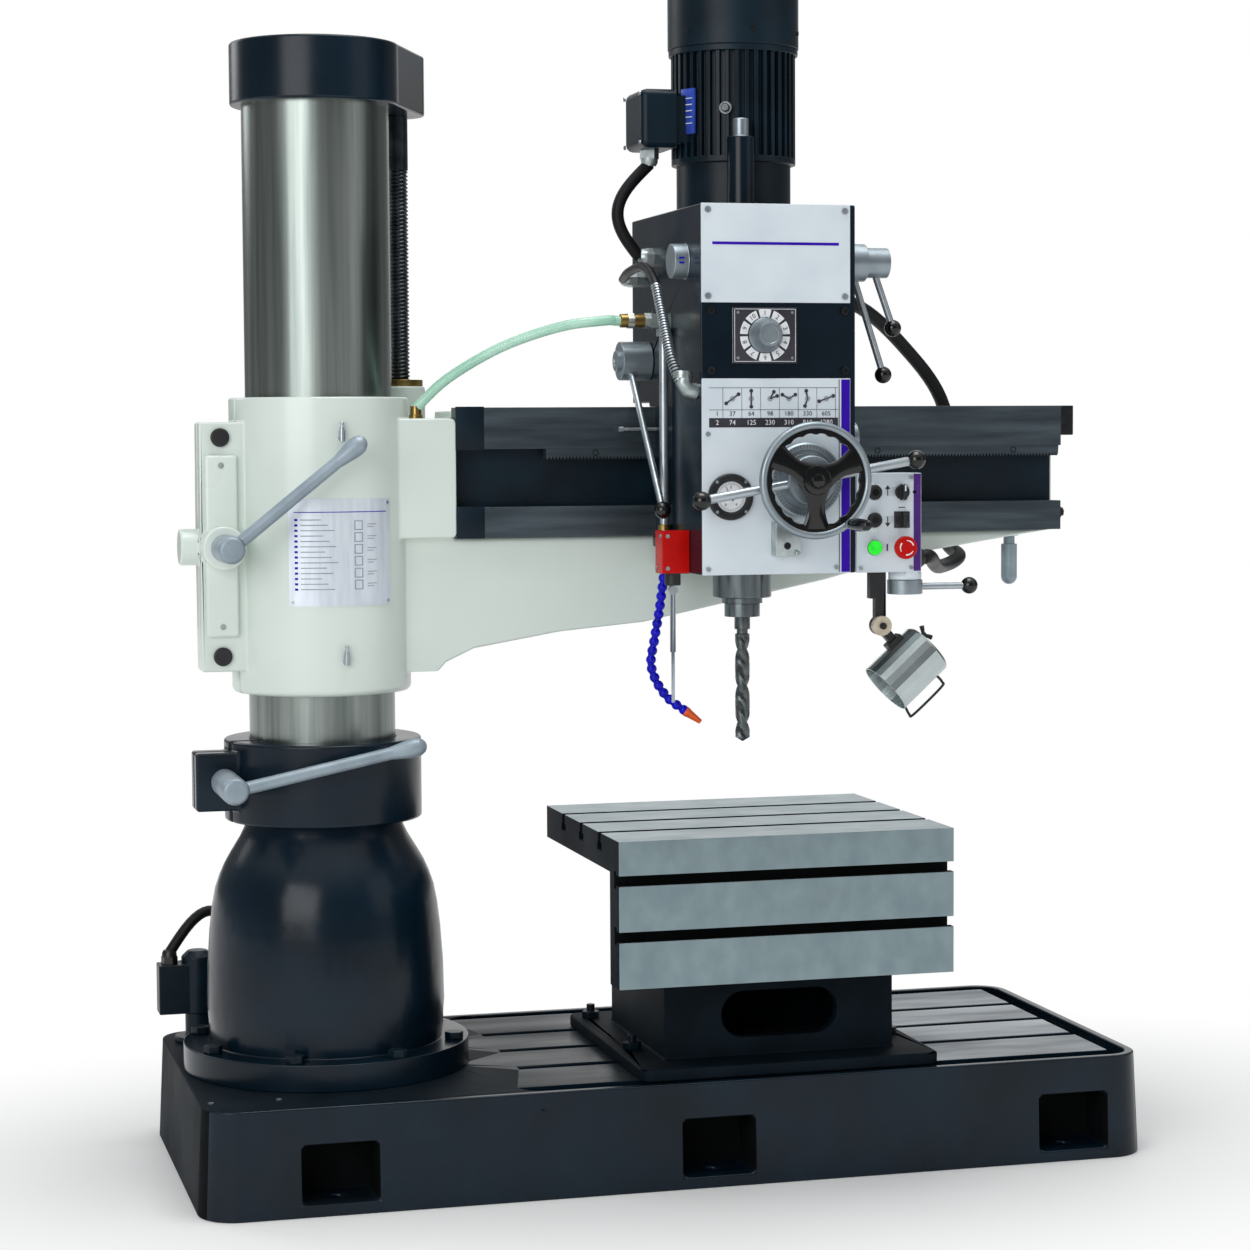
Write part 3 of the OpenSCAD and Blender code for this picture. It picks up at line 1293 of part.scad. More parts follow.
spoke_turns = [150, 25, 270];
grip_turn = -53;
module handwheel() color("#a0acb4")
{
  rim = wheel_r - wheel_rim_r;
  g = [feed_x + rim * cos(grip_turn), feed_z + rim * sin(grip_turn)];
  translate([feed_x, wheel_y, feed_z]) rotate([90, 0, 0])
    rotate_extrude() translate([rim, 0]) circle(r = wheel_rim_r, $fn = 24);
  difference()
  {
    union()
    {
      pin_y(feed_x, feed_z, wheel_front, wheel_back, wheel_hub_r);
      for (a = spoke_turns) translate([feed_x, wheel_y, feed_z]) rotate([0, -a, 0])
        bar(0, rim, -spoke_t / 2, spoke_t / 2, -spoke_wid / 2, spoke_wid / 2);
    }
    pin_y(feed_x, feed_z, wheel_front - join, wheel_back + join, traverse_shaft_r);
  }
  pin_y(g[0], g[1], wheel_y - wheel_rim_r * 2, wheel_y, grip_r * half_share);
  pin_y(g[0], g[1], wheel_y - wheel_rim_r * 2 - grip_len, wheel_y - wheel_rim_r * 2 + join, grip_r);
}

module traverse_shaft() color("#8b949a")
{
  pin_y(feed_x, feed_z, wheel_front, -way_front + rack_depth - free_gap, traverse_shaft_r);
  translate([feed_x, -way_front + rack_depth - free_gap, feed_z]) rotate([90, 0, 0])
    linear_extrude(rack_depth - free_gap * 1.5) rotate([0, 0, 90]) polygon(gear_points(traverse_teeth, tooth_mod));
}

module feed_capstan() color("#a9b2b6")
{
  d = [cos(capstan_slope), 0, sin(capstan_slope)] * (capstan_reach - capstan_ball_r);
  c = [feed_x, bar_y, feed_z];
  difference()
  {
    union()
    {
      pin_y(feed_x, feed_z, drum_front, drum_back, drum_r);
      pin_y(feed_x, feed_z, capstan_front, drum_front + join, capstan_hub_r);
      strut(c - d, c + d, capstan_bar_r);
    }
    pin_y(feed_x, feed_z, capstan_front - join, drum_back + join, feed_sleeve_r);
  }
  for (p = [c - d, c + d]) translate(p) rotate([0, acos(d[2] / norm(d)), atan2(d[1], d[0])])
    sphere(r = capstan_ball_r, $fn = 32);
}

module feed_sleeve() color("#8b949a") difference()
{
  union()
  {
    pin_y(feed_x, feed_z, capstan_front, sy - quill_r, feed_sleeve_r);
    pin_y(feed_x, feed_z, capstan_front, sy - pinion_wid / 2, (feed_teeth / 2 - foot_share) * tooth_mod);
    translate([feed_x, sy + pinion_wid / 2, feed_z]) rotate([90, 0, 0]) linear_extrude(pinion_wid + join)
      rotate([0, 0, half_turn]) polygon(gear_points(feed_teeth, tooth_mod));
  }
  pin_y(feed_x, feed_z, capstan_front - join, sy + pinion_wid, traverse_shaft_r + run_gap);
}

quill_rack_first = feed_z - 3.5 * rack_step;
quill_rack_count = 32;
module quill() color("#a9b2b6") difference()
{
  translate([sx, sy, quill_low]) rotate([0, 0, half_turn]) cylinder(r = quill_r, h = quill_len);
  post(sx, sy, quill_low - join, quill_top + join, spindle_r + run_gap);
  difference()
  {
    bar(quill_pitch_x - foot_share * tooth_mod, sx + quill_r + join, sy - quill_r, sy + quill_r,
      quill_rack_first - rack_step / 2, quill_rack_first + (quill_rack_count - half_share) * rack_step);
    slab([for (q = rack_points(quill_rack_first, quill_rack_count, -quill_r / 2)) [quill_pitch_x + q[1], q[0]]],
      sy - quill_r - join, sy + quill_r + join);
  }
}

module spindle() color("#9aa4aa")
{
  post(sx, sy, quill_low - join, spindle_top, spindle_r);
  post(sx, sy, nose_low, quill_low - slide_gap, nose_r);
}

module drill_bit() color("#8b7f6a")
{
  post(sx, sy, nose_low - drill_len * 0.13, nose_low, drill_r * 1.08);
  post(sx, sy, nose_low - drill_len + point_len, nose_low - drill_len * 0.13 + join, drill_r);
  translate([sx, sy, nose_low - drill_len]) cylinder(r1 = drill_r * 0.06, r2 = drill_r, h = point_len);
}

module drive_sleeve() color("#7d868b") difference()
{
  union()
  {
    post(sx, sy, gear_z - gear_wid, head_top - free_gap, sleeve_hub_r);
    translate([sx, sy, gear_z]) linear_extrude(gear_wid) rotate([0, 0, gear_turn])
      polygon(gear_points(drive_teeth, gear_mod));
  }
  post(sx, sy, gear_z - gear_wid - join, head_top, spindle_r + run_gap);
}

fan_z = motor_top + cowl_h * 0.3;
module motor_rotor() color("#7d868b")
{
  post(mx, my, gear_z - gear_wid / 2, motor_top + cowl_h * half_share, rotor_shaft_r);
  translate([mx, my, gear_z]) linear_extrude(gear_wid) rotate([0, 0, gear_turn + half_turn + half_turn / rotor_teeth])
    polygon(gear_points(rotor_teeth, gear_mod));
  post(mx, my, adaptor_top + 2 * fin_h, motor_top - 2 * fin_h, rotor_r);
  post(mx, my, fan_z, fan_z + cowl_wall * 2, fan_r);
  for (i = [0:7]) translate([mx, my, 0]) rotate([0, 0, 45 * i])
    bar(rotor_shaft_r, fan_r, -cowl_wall / 2, cowl_wall / 2, fan_z + cowl_wall, fan_z + cowl_h * 0.28);
}

module lever_rod(x, y, z, drop, lean, r)
{
  b = [x + lean, y, z - drop];
  strut([x, y, z], b, rod_r);
  ball(b, r);
}
module speed_lever_inner() color("#a0acb4") difference()
{
  union()
  {
    axle(-speed_y, speed_z, speed_base + slide_gap, inner_end, speed_hub_r);
    lever_rod(speed_base + speed_hub_len / 2, -speed_y, speed_z - speed_hub_r * 0.7, inner_drop - speed_hub_r * 0.7,
      lever_lean, ball_r);
  }
  axle(-speed_y, speed_z, speed_base, inner_end + join, stem_r + run_gap);
}

module speed_lever_outer() color("#a0acb4")
{
  axle(-speed_y, speed_z, inner_end + slide_gap, outer_end, speed_hub_r * 0.8);
  axle(-speed_y, speed_z, head_right - head_wall * 0.6, outer_end - join, stem_r);
  lever_rod(inner_end + outer_hub_len / 2, -speed_y, speed_z - speed_hub_r * 0.6, outer_drop - speed_hub_r * 0.6,
    lever_lean * 0.6, ball_r);
}

module dial_knob() color("#b8c1c6")
{
  pin_y(dial_x, dial_z, panel_y - dial_h, panel_y - slide_gap, dial_r);
  pin_y(dial_x, dial_z, panel_y - join, face_y + head_wall * 0.8, stem_r);
}

module start_lever() color("#a0acb4")
{
  z = start_low + start_ring_h / 2;
  post(start_x, start_y, start_low, start_top - slide_gap, start_ring_r);
  post(start_x, start_y, start_top - join, box_low + button_h * half_share, stem_r);
  strut([start_x, start_y, z], [start_x + start_reach, start_y, z], rod_r);
  ball([start_x + start_reach, start_y, z], ball_r);
}

module head_clamp_lever() color("#a0acb4")
{
  d = [0, -sin(head_clamp_lean), -cos(head_clamp_lean)];
  p = [clamp_hx, -head_clamp_y, clamp_hz];
  axle(-head_clamp_y, clamp_hz, head_left - clamp_knob_len, head_left - slide_gap, clamp_knob_r);
  axle(-head_clamp_y, clamp_hz, head_left - join, head_left + head_wall * 0.7, clamp_pin_r);
  strut(p, p + d * head_clamp_len, rod_r);
  ball(p + d * head_clamp_len, ball_r);
}

module lamp_head() color("#1a1b1e") translate([lamp_x, lamp_y, lamp_z]) rotate([0, -lamp_slope, 0])
{
  off = lamp_len * 0.12;
  deep = lamp_r * 1.86;
  plate = lamp_stem * 0.4;
  difference()
  {
    union()
    {
      axle(0, -deep, -off - lamp_len / 2, -off + lamp_len / 2, lamp_r);
      bar(-plate, plate, -2 * plate - slide_gap, -plate - slide_gap, -deep, 0);
    }
    axle(0, -deep, -off - lamp_len / 2 - join, -off + lamp_len * 0.3, lamp_r - lamp_wall);
  }
  pin_y(0, 0, -2.6 * plate - slide_gap, -plate - slide_gap, lamp_disc_r);
  pin_y(0, 0, -2 * plate, plate, trip_r);
}

module trip_rod() color("#c3c9cc")
{
  z = head_low - gland_h - slide_gap - trip_r * 1.6;
  pin_y(switch_x, z, trip_y - trip_r, trip_y + trip_r, trip_r * 1.6);
  post(switch_x, trip_y, z - trip_len * 0.55, z, trip_r);
  post(switch_x, trip_y, z - trip_len, z, trip_r * 0.6);
}

module push_button(x, z)
{
  pin_y(x, z, panel_y - button_h, panel_y - button_h * 0.4, button_r * 0.85);
  pin_y(x, z, panel_y - button_h * half_share, panel_y + stem_len, stem_r);
}
module button_up() color("#141518") push_button(col_a, row_c);
module button_down() color("#141518") push_button(col_a, row_b);
module button_start() color("#1ee628") push_button(col_a, row_a);
module stop_button() color("#d2141e")
{
  pin_y(col_b, row_a, panel_y - button_h * 2.2, panel_y - button_h, stop_button_r);
  pin_y(col_b, row_a, panel_y - button_h * 1.5, panel_y + stem_len, stem_r);
}
module turn_knob(x, z, r)
{
  pin_y(x, z, panel_y - button_h * half_share, panel_y - slide_gap, r);
  bar(x - r * 0.25, x + r * 0.25, panel_y - button_h * 1.6, panel_y - slide_gap, z - r, z + r);
  pin_y(x, z, panel_y - button_h * half_share, panel_y + stem_len, stem_r);
}
module selector_knob() color("#141518") turn_knob(col_b, row_c, button_r * 0.9);
module rocker_switch() color("#3a2a20") turn_knob(col_b, row_b, button_r * 0.8);

base_casting();
column_pedestal();
base_bolts();
inner_post();
column_bearing();
clamp_collar();
work_table();
table_stand();
coolant_pump();
pump_cable();
column_clamp_lever();
outer_column();
column_cap();
lift_motor();
elevating_screw();
arm_casting();
arm_ways();
traverse_rack();
elevating_nut();
clamp_plugs();
arm_end_stop();
pull_handle();
coolant_hose();
arm_clamp_lever();
head_casting();
front_panels();
depth_gauge();
motor_frame();
fan_cowl();
motor_cable();
sensor_conduit();
head_cable();
control_box();
lamp_bracket();
safety_switch();
coolant_pipe();
segment_hose();
handwheel();
traverse_shaft();
feed_capstan();
feed_sleeve();
quill();
spindle();
drill_bit();
drive_sleeve();
motor_rotor();
speed_lever_inner();
speed_lever_outer();
dial_knob();
start_lever();
head_clamp_lever();
lamp_head();
trip_rod();
button_up();
button_down();
button_start();
stop_button();
selector_knob();
rocker_switch();
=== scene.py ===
# Radial arm drill: finishes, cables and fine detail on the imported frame, in metres, with the finishes in mm
import json
from math import copysign, cos, hypot, pi, radians, sin, sqrt
from types import SimpleNamespace

import bmesh
import bpy
from mathutils import Matrix, Vector


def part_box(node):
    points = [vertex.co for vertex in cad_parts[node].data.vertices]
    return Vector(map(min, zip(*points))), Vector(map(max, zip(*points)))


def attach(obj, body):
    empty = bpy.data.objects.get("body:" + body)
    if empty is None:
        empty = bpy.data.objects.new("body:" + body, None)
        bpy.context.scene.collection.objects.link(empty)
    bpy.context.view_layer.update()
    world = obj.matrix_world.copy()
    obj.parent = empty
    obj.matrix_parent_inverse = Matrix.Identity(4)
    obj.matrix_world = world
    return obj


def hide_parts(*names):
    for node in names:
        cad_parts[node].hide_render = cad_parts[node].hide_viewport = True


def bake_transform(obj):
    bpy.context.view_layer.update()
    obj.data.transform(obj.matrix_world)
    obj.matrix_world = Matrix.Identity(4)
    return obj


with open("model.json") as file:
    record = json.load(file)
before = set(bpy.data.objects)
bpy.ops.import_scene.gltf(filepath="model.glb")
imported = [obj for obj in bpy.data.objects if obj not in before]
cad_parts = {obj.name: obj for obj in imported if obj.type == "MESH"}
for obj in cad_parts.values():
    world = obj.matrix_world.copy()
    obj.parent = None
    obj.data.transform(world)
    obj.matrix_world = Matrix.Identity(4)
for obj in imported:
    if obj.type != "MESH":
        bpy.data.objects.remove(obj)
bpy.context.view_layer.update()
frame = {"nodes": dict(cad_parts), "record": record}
cadNodes = frame["nodes"]
bodyOf = {n: b for b, members in frame["record"]["behaviour"]["bodies"].items() for n in members}
toFront, toTop, toRight = Vector((0, -1, 0)), Vector((0, 0, 1)), Vector((1, 0, 0))
print("frame loaded:", len(cadNodes), "nodes")


# small tools for nodes and meshes
def srgb(text):
    parts = [int(text[i:i + 2], 16) / 255 for i in (1, 3, 5)]
    return tuple(c / 12.92 if c <= 0.04045 else ((c + 0.055) / 1.055) ** 2.4 for c in parts) + (1.0,)


def add(tree, kind, links=None, **settings):
    made = tree.nodes.new(kind)
    for name, value in settings.items():
        setattr(made, name, value)
    for key, value in (links or {}).items():
        if isinstance(value, bpy.types.NodeSocket):
            tree.links.new(value, made.inputs[key])
        else:
            made.inputs[key].default_value = value
    return made


def ranged(tree, value, *limits, **settings):
    return add(tree, "ShaderNodeMapRange", {0: value, **dict(enumerate(limits, 1))}, **settings).outputs[0]


def blended(tree, share, first, second):
    return add(tree, "ShaderNodeMix", {0: share, 6: first, 7: second}, data_type="RGBA").outputs[2]


def finish(name, tones, patch, rough, grain, relief, strength, stretch=(1, 1, 1), metal=0.0, shine=0.5,
           coat=0.0, pool=None, soaked=None, glow=None, clear=None):
    # broad patches of tone, a roughness that drifts, and a fine relief; patch, grain and relief are real
    # sizes in mm: the orange peel of a gloss paint is about 6 across and 0.1 high
    material = bpy.data.materials.new(name)
    material.use_nodes = True
    tree = material.node_tree
    shader = tree.nodes["Principled BSDF"]
    place = add(tree, "ShaderNodeTexCoord").outputs["Object"]
    drawn = add(tree, "ShaderNodeMapping", {"Vector": place, "Scale": stretch}).outputs[0]

    def noise(size, detail):
        return add(tree, "ShaderNodeTexNoise",
                   {"Vector": drawn, "Scale": 1000 / size, "Detail": detail}).outputs[0]

    dark, light = (srgb(t) for t in tones.split())
    colour = blended(tree, ranged(tree, noise(patch, 4.0), 0.32, 0.68), dark, light)
    drift = ranged(tree, noise(patch / 0.43, 5.0), 0.3, 0.7, *rough)
    bump = add(tree, "ShaderNodeBump", {"Height": noise(grain, 3.0), "Strength": strength,
                                        "Distance": relief / 1000})
    values = {"Metallic": metal, "Specular IOR Level": shine, "Coat Weight": coat, "Coat Roughness": 0.08}
    if glow:
        values.update({"Emission Color": light, "Emission Strength": glow})
    if clear:
        values.update({"Transmission Weight": clear, "IOR": 1.45})
    for socket, value in values.items():
        shader.inputs[socket].default_value = value
    if pool:
        # the bed turns darker, duller and less metallic towards its left end
        along = add(tree, "ShaderNodeSeparateXYZ", {0: place}).outputs["X"]
        awayShare = ranged(tree, along, *pool, interpolation_type="SMOOTHSTEP")
        for socket, darkerValue, ownValue in (("Metallic", 0.1, metal), ("Specular IOR Level", 0.06, shine)):
            tree.links.new(ranged(tree, awayShare, 0.0, 1.0, darkerValue, ownValue), shader.inputs[socket])
        colour = blended(tree, awayShare, srgb(soaked), colour)
    for socket, value in (("Base Color", colour), ("Roughness", drift), ("Normal", bump.outputs[0])):
        tree.links.new(value, shader.inputs[socket])
    return material


# name: dark and light tone, patch, range of roughness, grain, relief, strength of the relief, the rest
looks = {
    # two-pack gloss paint on filled cast iron: soft wavy reflections, blue-black
    "anthraciteGloss": ("#05131d #0b1e2b", 160, (0.2, 0.3), 11, 0.25, 0.2, dict(shine=0.26)),
    # the same paint sprayed thinner on the head and the motor: a little duller
    "anthraciteSatin": ("#06141d #0d202b", 90, (0.3, 0.44), 6, 0.2, 0.22, dict(shine=0.2)),
    # the same paint made duller, with little sheen: a shaded copy that puts painted shade on the table, the
    # stand in the table's shade, and the left end and top of the base
    "anthraciteMatt": ("#081219 #0f1b23", 90, (0.55, 0.7), 6, 0.3, 0.3, dict(shine=0.08)),
    # near-white gloss paint on cast iron, with a green cast
    "paleGloss": ("#ced9d2 #d4ded7", 200, (0.24, 0.38), 12, 0.3, 0.2, dict(coat=0.2)),
    # cylindrically ground steel: faint streaks run down it, so the noise is drawn out along Z
    "groundSteel": ("#757f7c #9aa19d", 70, (0.26, 0.38), 12, 0.02, 0.06,
                    dict(stretch=(4, 4, 0.1), metal=1.0)),
    # oiled scraped iron of the guide ways: dark, long marks along the arm
    "waysIron": ("#39434a #566269", 60, (0.3, 0.42), 10, 0.04, 0.15, dict(stretch=(0.25, 2, 3), metal=0.7)),
    # milled grey iron of the table: bright, with feed marks along the cut
    "milledIron": ("#7f9197 #8c9ea3", 30, (0.28, 0.38), 4, 0.03, 0.12,
                   dict(stretch=(0.8, 1.5, 0.6), metal=0.85)),
    # planed bed of the base, with a few dull spots, darker and duller towards the column
    "oiledBed": ("#37414a #7f8b93", 120, (0.2, 0.5), 15, 0.1, 0.3,
                 dict(stretch=(0.5, 2.2, 2.2), metal=0.8, pool=(0.4, 0.95), soaked="#1a2428")),
    # silver hammer paint of the clamp levers
    "silverPaint": ("#84929c #97a5af", 50, (0.36, 0.48), 4, 0.12, 0.25, dict(metal=0.3)),
    # satin aluminium of hubs, wheel rim and drum
    "polishedAluminium": ("#87939a #98a3aa", 40, (0.32, 0.44), 3, 0.04, 0.15, dict(metal=0.75)),
    # dull plated steel of rods, pins and screws
    "platedSteel": ("#a2abb1 #b6bfc5", 30, (0.26, 0.36), 2, 0.02, 0.12, dict(metal=0.8)),
    # grey die-cast zinc of elbows, valve and glands
    "castZinc": ("#9da8a8 #c1caca", 20, (0.28, 0.45), 2.5, 0.1, 0.3, dict(metal=0.85)),
    # turned and hardened steel of the quill and the spindle nose, darker than the column
    "turnedSteel": ("#5c6467 #777f82", 30, (0.18, 0.28), 2, 0.02, 0.1, dict(stretch=(3, 3, 0.3), metal=1.0)),
    # near-black matt iron inside the pockets and slots: painted shade for the insides of these hollows
    "rawCasting": ("#050708 #0c0f11", 40, (0.7, 0.85), 4, 0.4, 0.4, dict(shine=0.1)),
    # high-speed steel of the drill, straw-grey in its flutes
    "drillSteel": ("#474d4f #6c7273", 20, (0.28, 0.4), 2, 0.03, 0.15, dict(metal=0.9)),
    # oiled thread of the elevating screw
    "threadSteel": ("#2a2f33 #464d52", 30, (0.3, 0.45), 2, 0.04, 0.2, dict(metal=0.8)),
    # blackened screws, nuts and bolts
    "blackOxide": ("#15171a #26292d", 20, (0.32, 0.5), 2, 0.05, 0.2, dict(metal=0.6)),
    # pressed phenolic knobs and wheel spokes: deep black, very glossy
    "blackPhenolic": ("#060708 #0d0e10", 50, (0.1, 0.2), 6, 0.03, 0.1),
    # moulded matt black of bezels, plugs and stems
    "blackMoulded": ("#101113 #1b1c1f", 30, (0.35, 0.5), 1.5, 0.06, 0.3),
    # extruded rubber sheath: matt with a faint bloom
    "rubberSheath": ("#0c0d0f #18191c", 60, (0.4, 0.58), 3, 0.08, 0.25, dict(shine=0.22)),
    # clear soft vinyl hose, green in the thickness of its wall
    "vinylHose": ("#a5d8c1 #c3ead7", 50, (0.16, 0.26), 8, 0.05, 0.1, dict(clear=0.25)),
    # turned brass
    "turnedBrass": ("#86703f #a58c54", 20, (0.26, 0.4), 2, 0.05, 0.2, dict(metal=1.0)),
    # satin light grey powder coat of the front plates
    "greySheet": ("#c6d0d8 #d3dce2", 120, (0.36, 0.46), 1.6, 0.04, 0.2),
    # violet powder coat on the box and violet ink on the plates
    "violetCoat": ("#42186f #51237f", 50, (0.35, 0.46), 1.6, 0.04, 0.2, dict(shine=0.3)),
    "violetInk": ("#2c0098 #3504a8", 50, (0.38, 0.48), 2, 0.02, 0.1, dict(shine=0.15)),
    # screen printing inks
    "darkInk": ("#23222c #2e2d38", 30, (0.4, 0.5), 2, 0.02, 0.1),
    "paleInk": ("#dadde0 #e6e9eb", 30, (0.4, 0.5), 2, 0.02, 0.1),
    "greyInk": ("#868e98 #98a0aa", 30, (0.4, 0.5), 2, 0.02, 0.1),
    # anodised aluminium of the data plates
    "anodisedPlate": ("#ccd5df #dbe2ea", 50, (0.3, 0.4), 3, 0.03, 0.15,
                      dict(stretch=(6, 6, 0.6), metal=0.25)),
    "bluePlate": ("#2b47ab #3a58c4", 20, (0.3, 0.42), 2, 0.03, 0.15, dict(metal=0.3)),
    # injection moulded colours
    "redMoulded": ("#b00804 #c40e08", 50, (0.24, 0.36), 3, 0.05, 0.2, dict(shine=0.16)),
    "greenLens": ("#18c824 #2bea36", 10, (0.12, 0.2), 3, 0.04, 0.2, dict(glow=0.35)),
    "blueMoulded": ("#0703a2 #0d08c0", 20, (0.24, 0.36), 2, 0.04, 0.2, dict(shine=0.22)),
    "orangeMoulded": ("#dd4f12 #ee6420", 10, (0.25, 0.36), 2, 0.04, 0.2),
    "beigeMoulded": ("#b3a792 #c7bca8", 10, (0.35, 0.48), 2, 0.04, 0.2),
    # drawn and brushed aluminium of the lamp shade
    "brushedShade": ("#b2bcbd #bac4c5", 50, (0.24, 0.34), 3, 0.01, 0.05, dict(metal=0.95)),
    # frosted glass of the lamp
    "frostedGlass": ("#dfe3e0 #eef0ec", 20, (0.3, 0.4), 3, 0.03, 0.1, dict(clear=0.3)),
}
finishes = {name: finish(name, *look[:6], **dict(*look[6:])) for name, look in looks.items()}
print("finishes made:", len(finishes))


def around(steps):
    return [2 * pi * k / steps for k in range(steps)]


def facing(turn):
    # the direction at this angle on the front of the machine
    return Vector((cos(turn), 0, sin(turn)))


def bridge(shape, rings, ink=0, loop=False):
    # faces from ring to ring: capped at both ends, or joined into a loop
    for a, b in zip(rings, rings[1:] + (rings[:1] if loop else [])):
        for k in range(len(a)):
            m = (k + 1) % len(a)
            shape.faces.new((a[k], a[m], b[m], b[k])).material_index = ink
    for ring in () if loop else (rings[0], rings[-1]):
        shape.faces.new(ring).material_index = ink


def block(shape, low, high, ink=0, edge=0.0, steps=2):
    low, high = Vector(low), Vector(high)
    place = Matrix.Translation((low + high) / 2) @ Matrix.Diagonal((*(high - low), 1))
    corners = bmesh.ops.create_cube(shape, size=1, matrix=place)["verts"]
    for f in {f for v in corners for f in v.link_faces}:
        f.material_index = ink
    if edge:
        edges = list({e for v in corners for e in v.link_edges})
        bmesh.ops.bevel(shape, geom=edges, offset=edge, segments=steps, profile=0.5, affect="EDGES",
                        clamp_overlap=True, material=ink)


def turned(shape, profile, origin, axis, ink=0, steps=48):
    # profile is (along the axis, radius) from end to end; ink may be a list, one for each step of it
    axis = Vector(axis).normalized()
    side = axis.orthogonal().normalized()
    other = axis.cross(side)
    inks = ink if isinstance(ink, list) else [ink] * (len(profile) - 1)
    rings = []
    for along, radius in profile:
        centre = Vector(origin) + axis * along
        turns = around(steps if radius > 1e-6 else 1)
        rings.append([shape.verts.new(centre + radius * (side * cos(t) + other * sin(t))) for t in turns])
    for a, b, colour in zip(rings, rings[1:], inks):
        for k in range(steps):
            m = (k + 1) % steps
            ring = [a[k % len(a)], a[m % len(a)], b[m % len(b)], b[k % len(b)]]
            corners = [v for j, v in enumerate(ring) if v not in ring[:j]]
            if len(corners) > 2:
                shape.faces.new(corners).material_index = colour
    for ring, colour in ((rings[0], inks[0]), (rings[-1], inks[-1])):
        if len(ring) > 1:
            shape.faces.new(ring).material_index = colour


def smoothPath(points, steps):
    # the same spline through the points as the solids use
    found = []
    pts = [Vector(p) for p in points]
    for i in range(len(pts) - 1):
        a, b, c, d = pts[max(i - 1, 0)], pts[i], pts[i + 1], pts[min(i + 2, len(pts) - 1)]
        for k in range(steps):
            t = k / steps
            found.append((2 * b + (c - a) * t + (2 * a - 5 * b + 4 * c - d) * t * t
                          + (3 * b - a - 3 * c + d) * t * t * t) / 2)
    return found + [pts[-1]]


def bowPath(start, end, bow, steps):
    start, end, bow = Vector(start), Vector(end), Vector(bow)
    return [start + (end - start) * i / steps + bow * sin(pi * i / steps) for i in range(steps + 1)]


def pathLength(points):
    return sum((b - a).length for a, b in zip(points, points[1:]))


def swept(shape, points, radius, ink=0, sides=16):
    # a tube along the points, with its ring carried on from point to point so that it doesn't twist
    points = [Vector(p) for p in points]
    last = len(points) - 1
    heads = [(points[min(i + 1, last)] - points[max(i - 1, 0)]).normalized() for i in range(last + 1)]
    side = heads[0].orthogonal().normalized()
    rings = []
    for i, p in enumerate(points):
        side = (side - heads[i] * side.dot(heads[i])).normalized()
        other = heads[i].cross(side)
        r = radius(i / last) if callable(radius) else radius
        rings.append([shape.verts.new(p + r * (side * cos(t) + other * sin(t))) for t in around(sides)])
    bridge(shape, rings, ink)


def lettering(shape, text, height, centre, right=toRight, up=toTop, ink=0):
    # figures on dials and charts, as flat faces
    curve = bpy.data.curves.new("figures", "FONT")
    curve.body = text
    curve.align_x = "CENTER"
    curve.align_y = "CENTER"
    curve.size = height
    curve.resolution_u = 2
    holder = bpy.data.objects.new("figures", curve)
    bpy.context.scene.collection.objects.link(holder)
    bpy.context.view_layer.update()
    mesh = bpy.data.meshes.new_from_object(holder.evaluated_get(bpy.context.evaluated_depsgraph_get()))
    mesh.transform(Matrix.Translation(centre) @ Matrix((right, up, right.cross(up))).transposed().to_4x4())
    before = set(shape.faces)
    shape.from_mesh(mesh)
    for f in set(shape.faces) - before:
        f.material_index = ink
    bpy.data.objects.remove(holder)
    bpy.data.curves.remove(curve)
    bpy.data.meshes.remove(mesh)


def placed(mesh, name, finishNames, body, replaced=(), angle=38):
    # every finished piece: materials, smooth shading with sharp creases, its body, the solid it stands for
    if len(mesh.materials):
        mesh.materials.clear()
    for f in finishNames.split():
        mesh.materials.append(finishes[f])
    if angle:
        mesh.shade_smooth()
        mesh.set_sharp_from_angle(angle=radians(angle))
    piece = bpy.data.objects.new(name, mesh)
    bpy.context.scene.collection.objects.link(piece)
    if body:
        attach(piece, body)
    if replaced:
        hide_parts(*replaced)
    return piece


def made(shape, name, finishNames, body, slot=None, replaced=(), angle=38, closed=True):
    if closed:
        bmesh.ops.recalc_face_normals(shape, faces=shape.faces)
    mesh = bpy.data.meshes.new(name)
    shape.to_mesh(mesh)
    shape.free()
    return placed(mesh, name, finishNames, body, replaced, angle)


def lathe(name, finishNames, body, slot, *forms):
    shape = bmesh.new()
    for form in forms:
        turned(shape, *form)
    return made(shape, name, finishNames, body, slot)


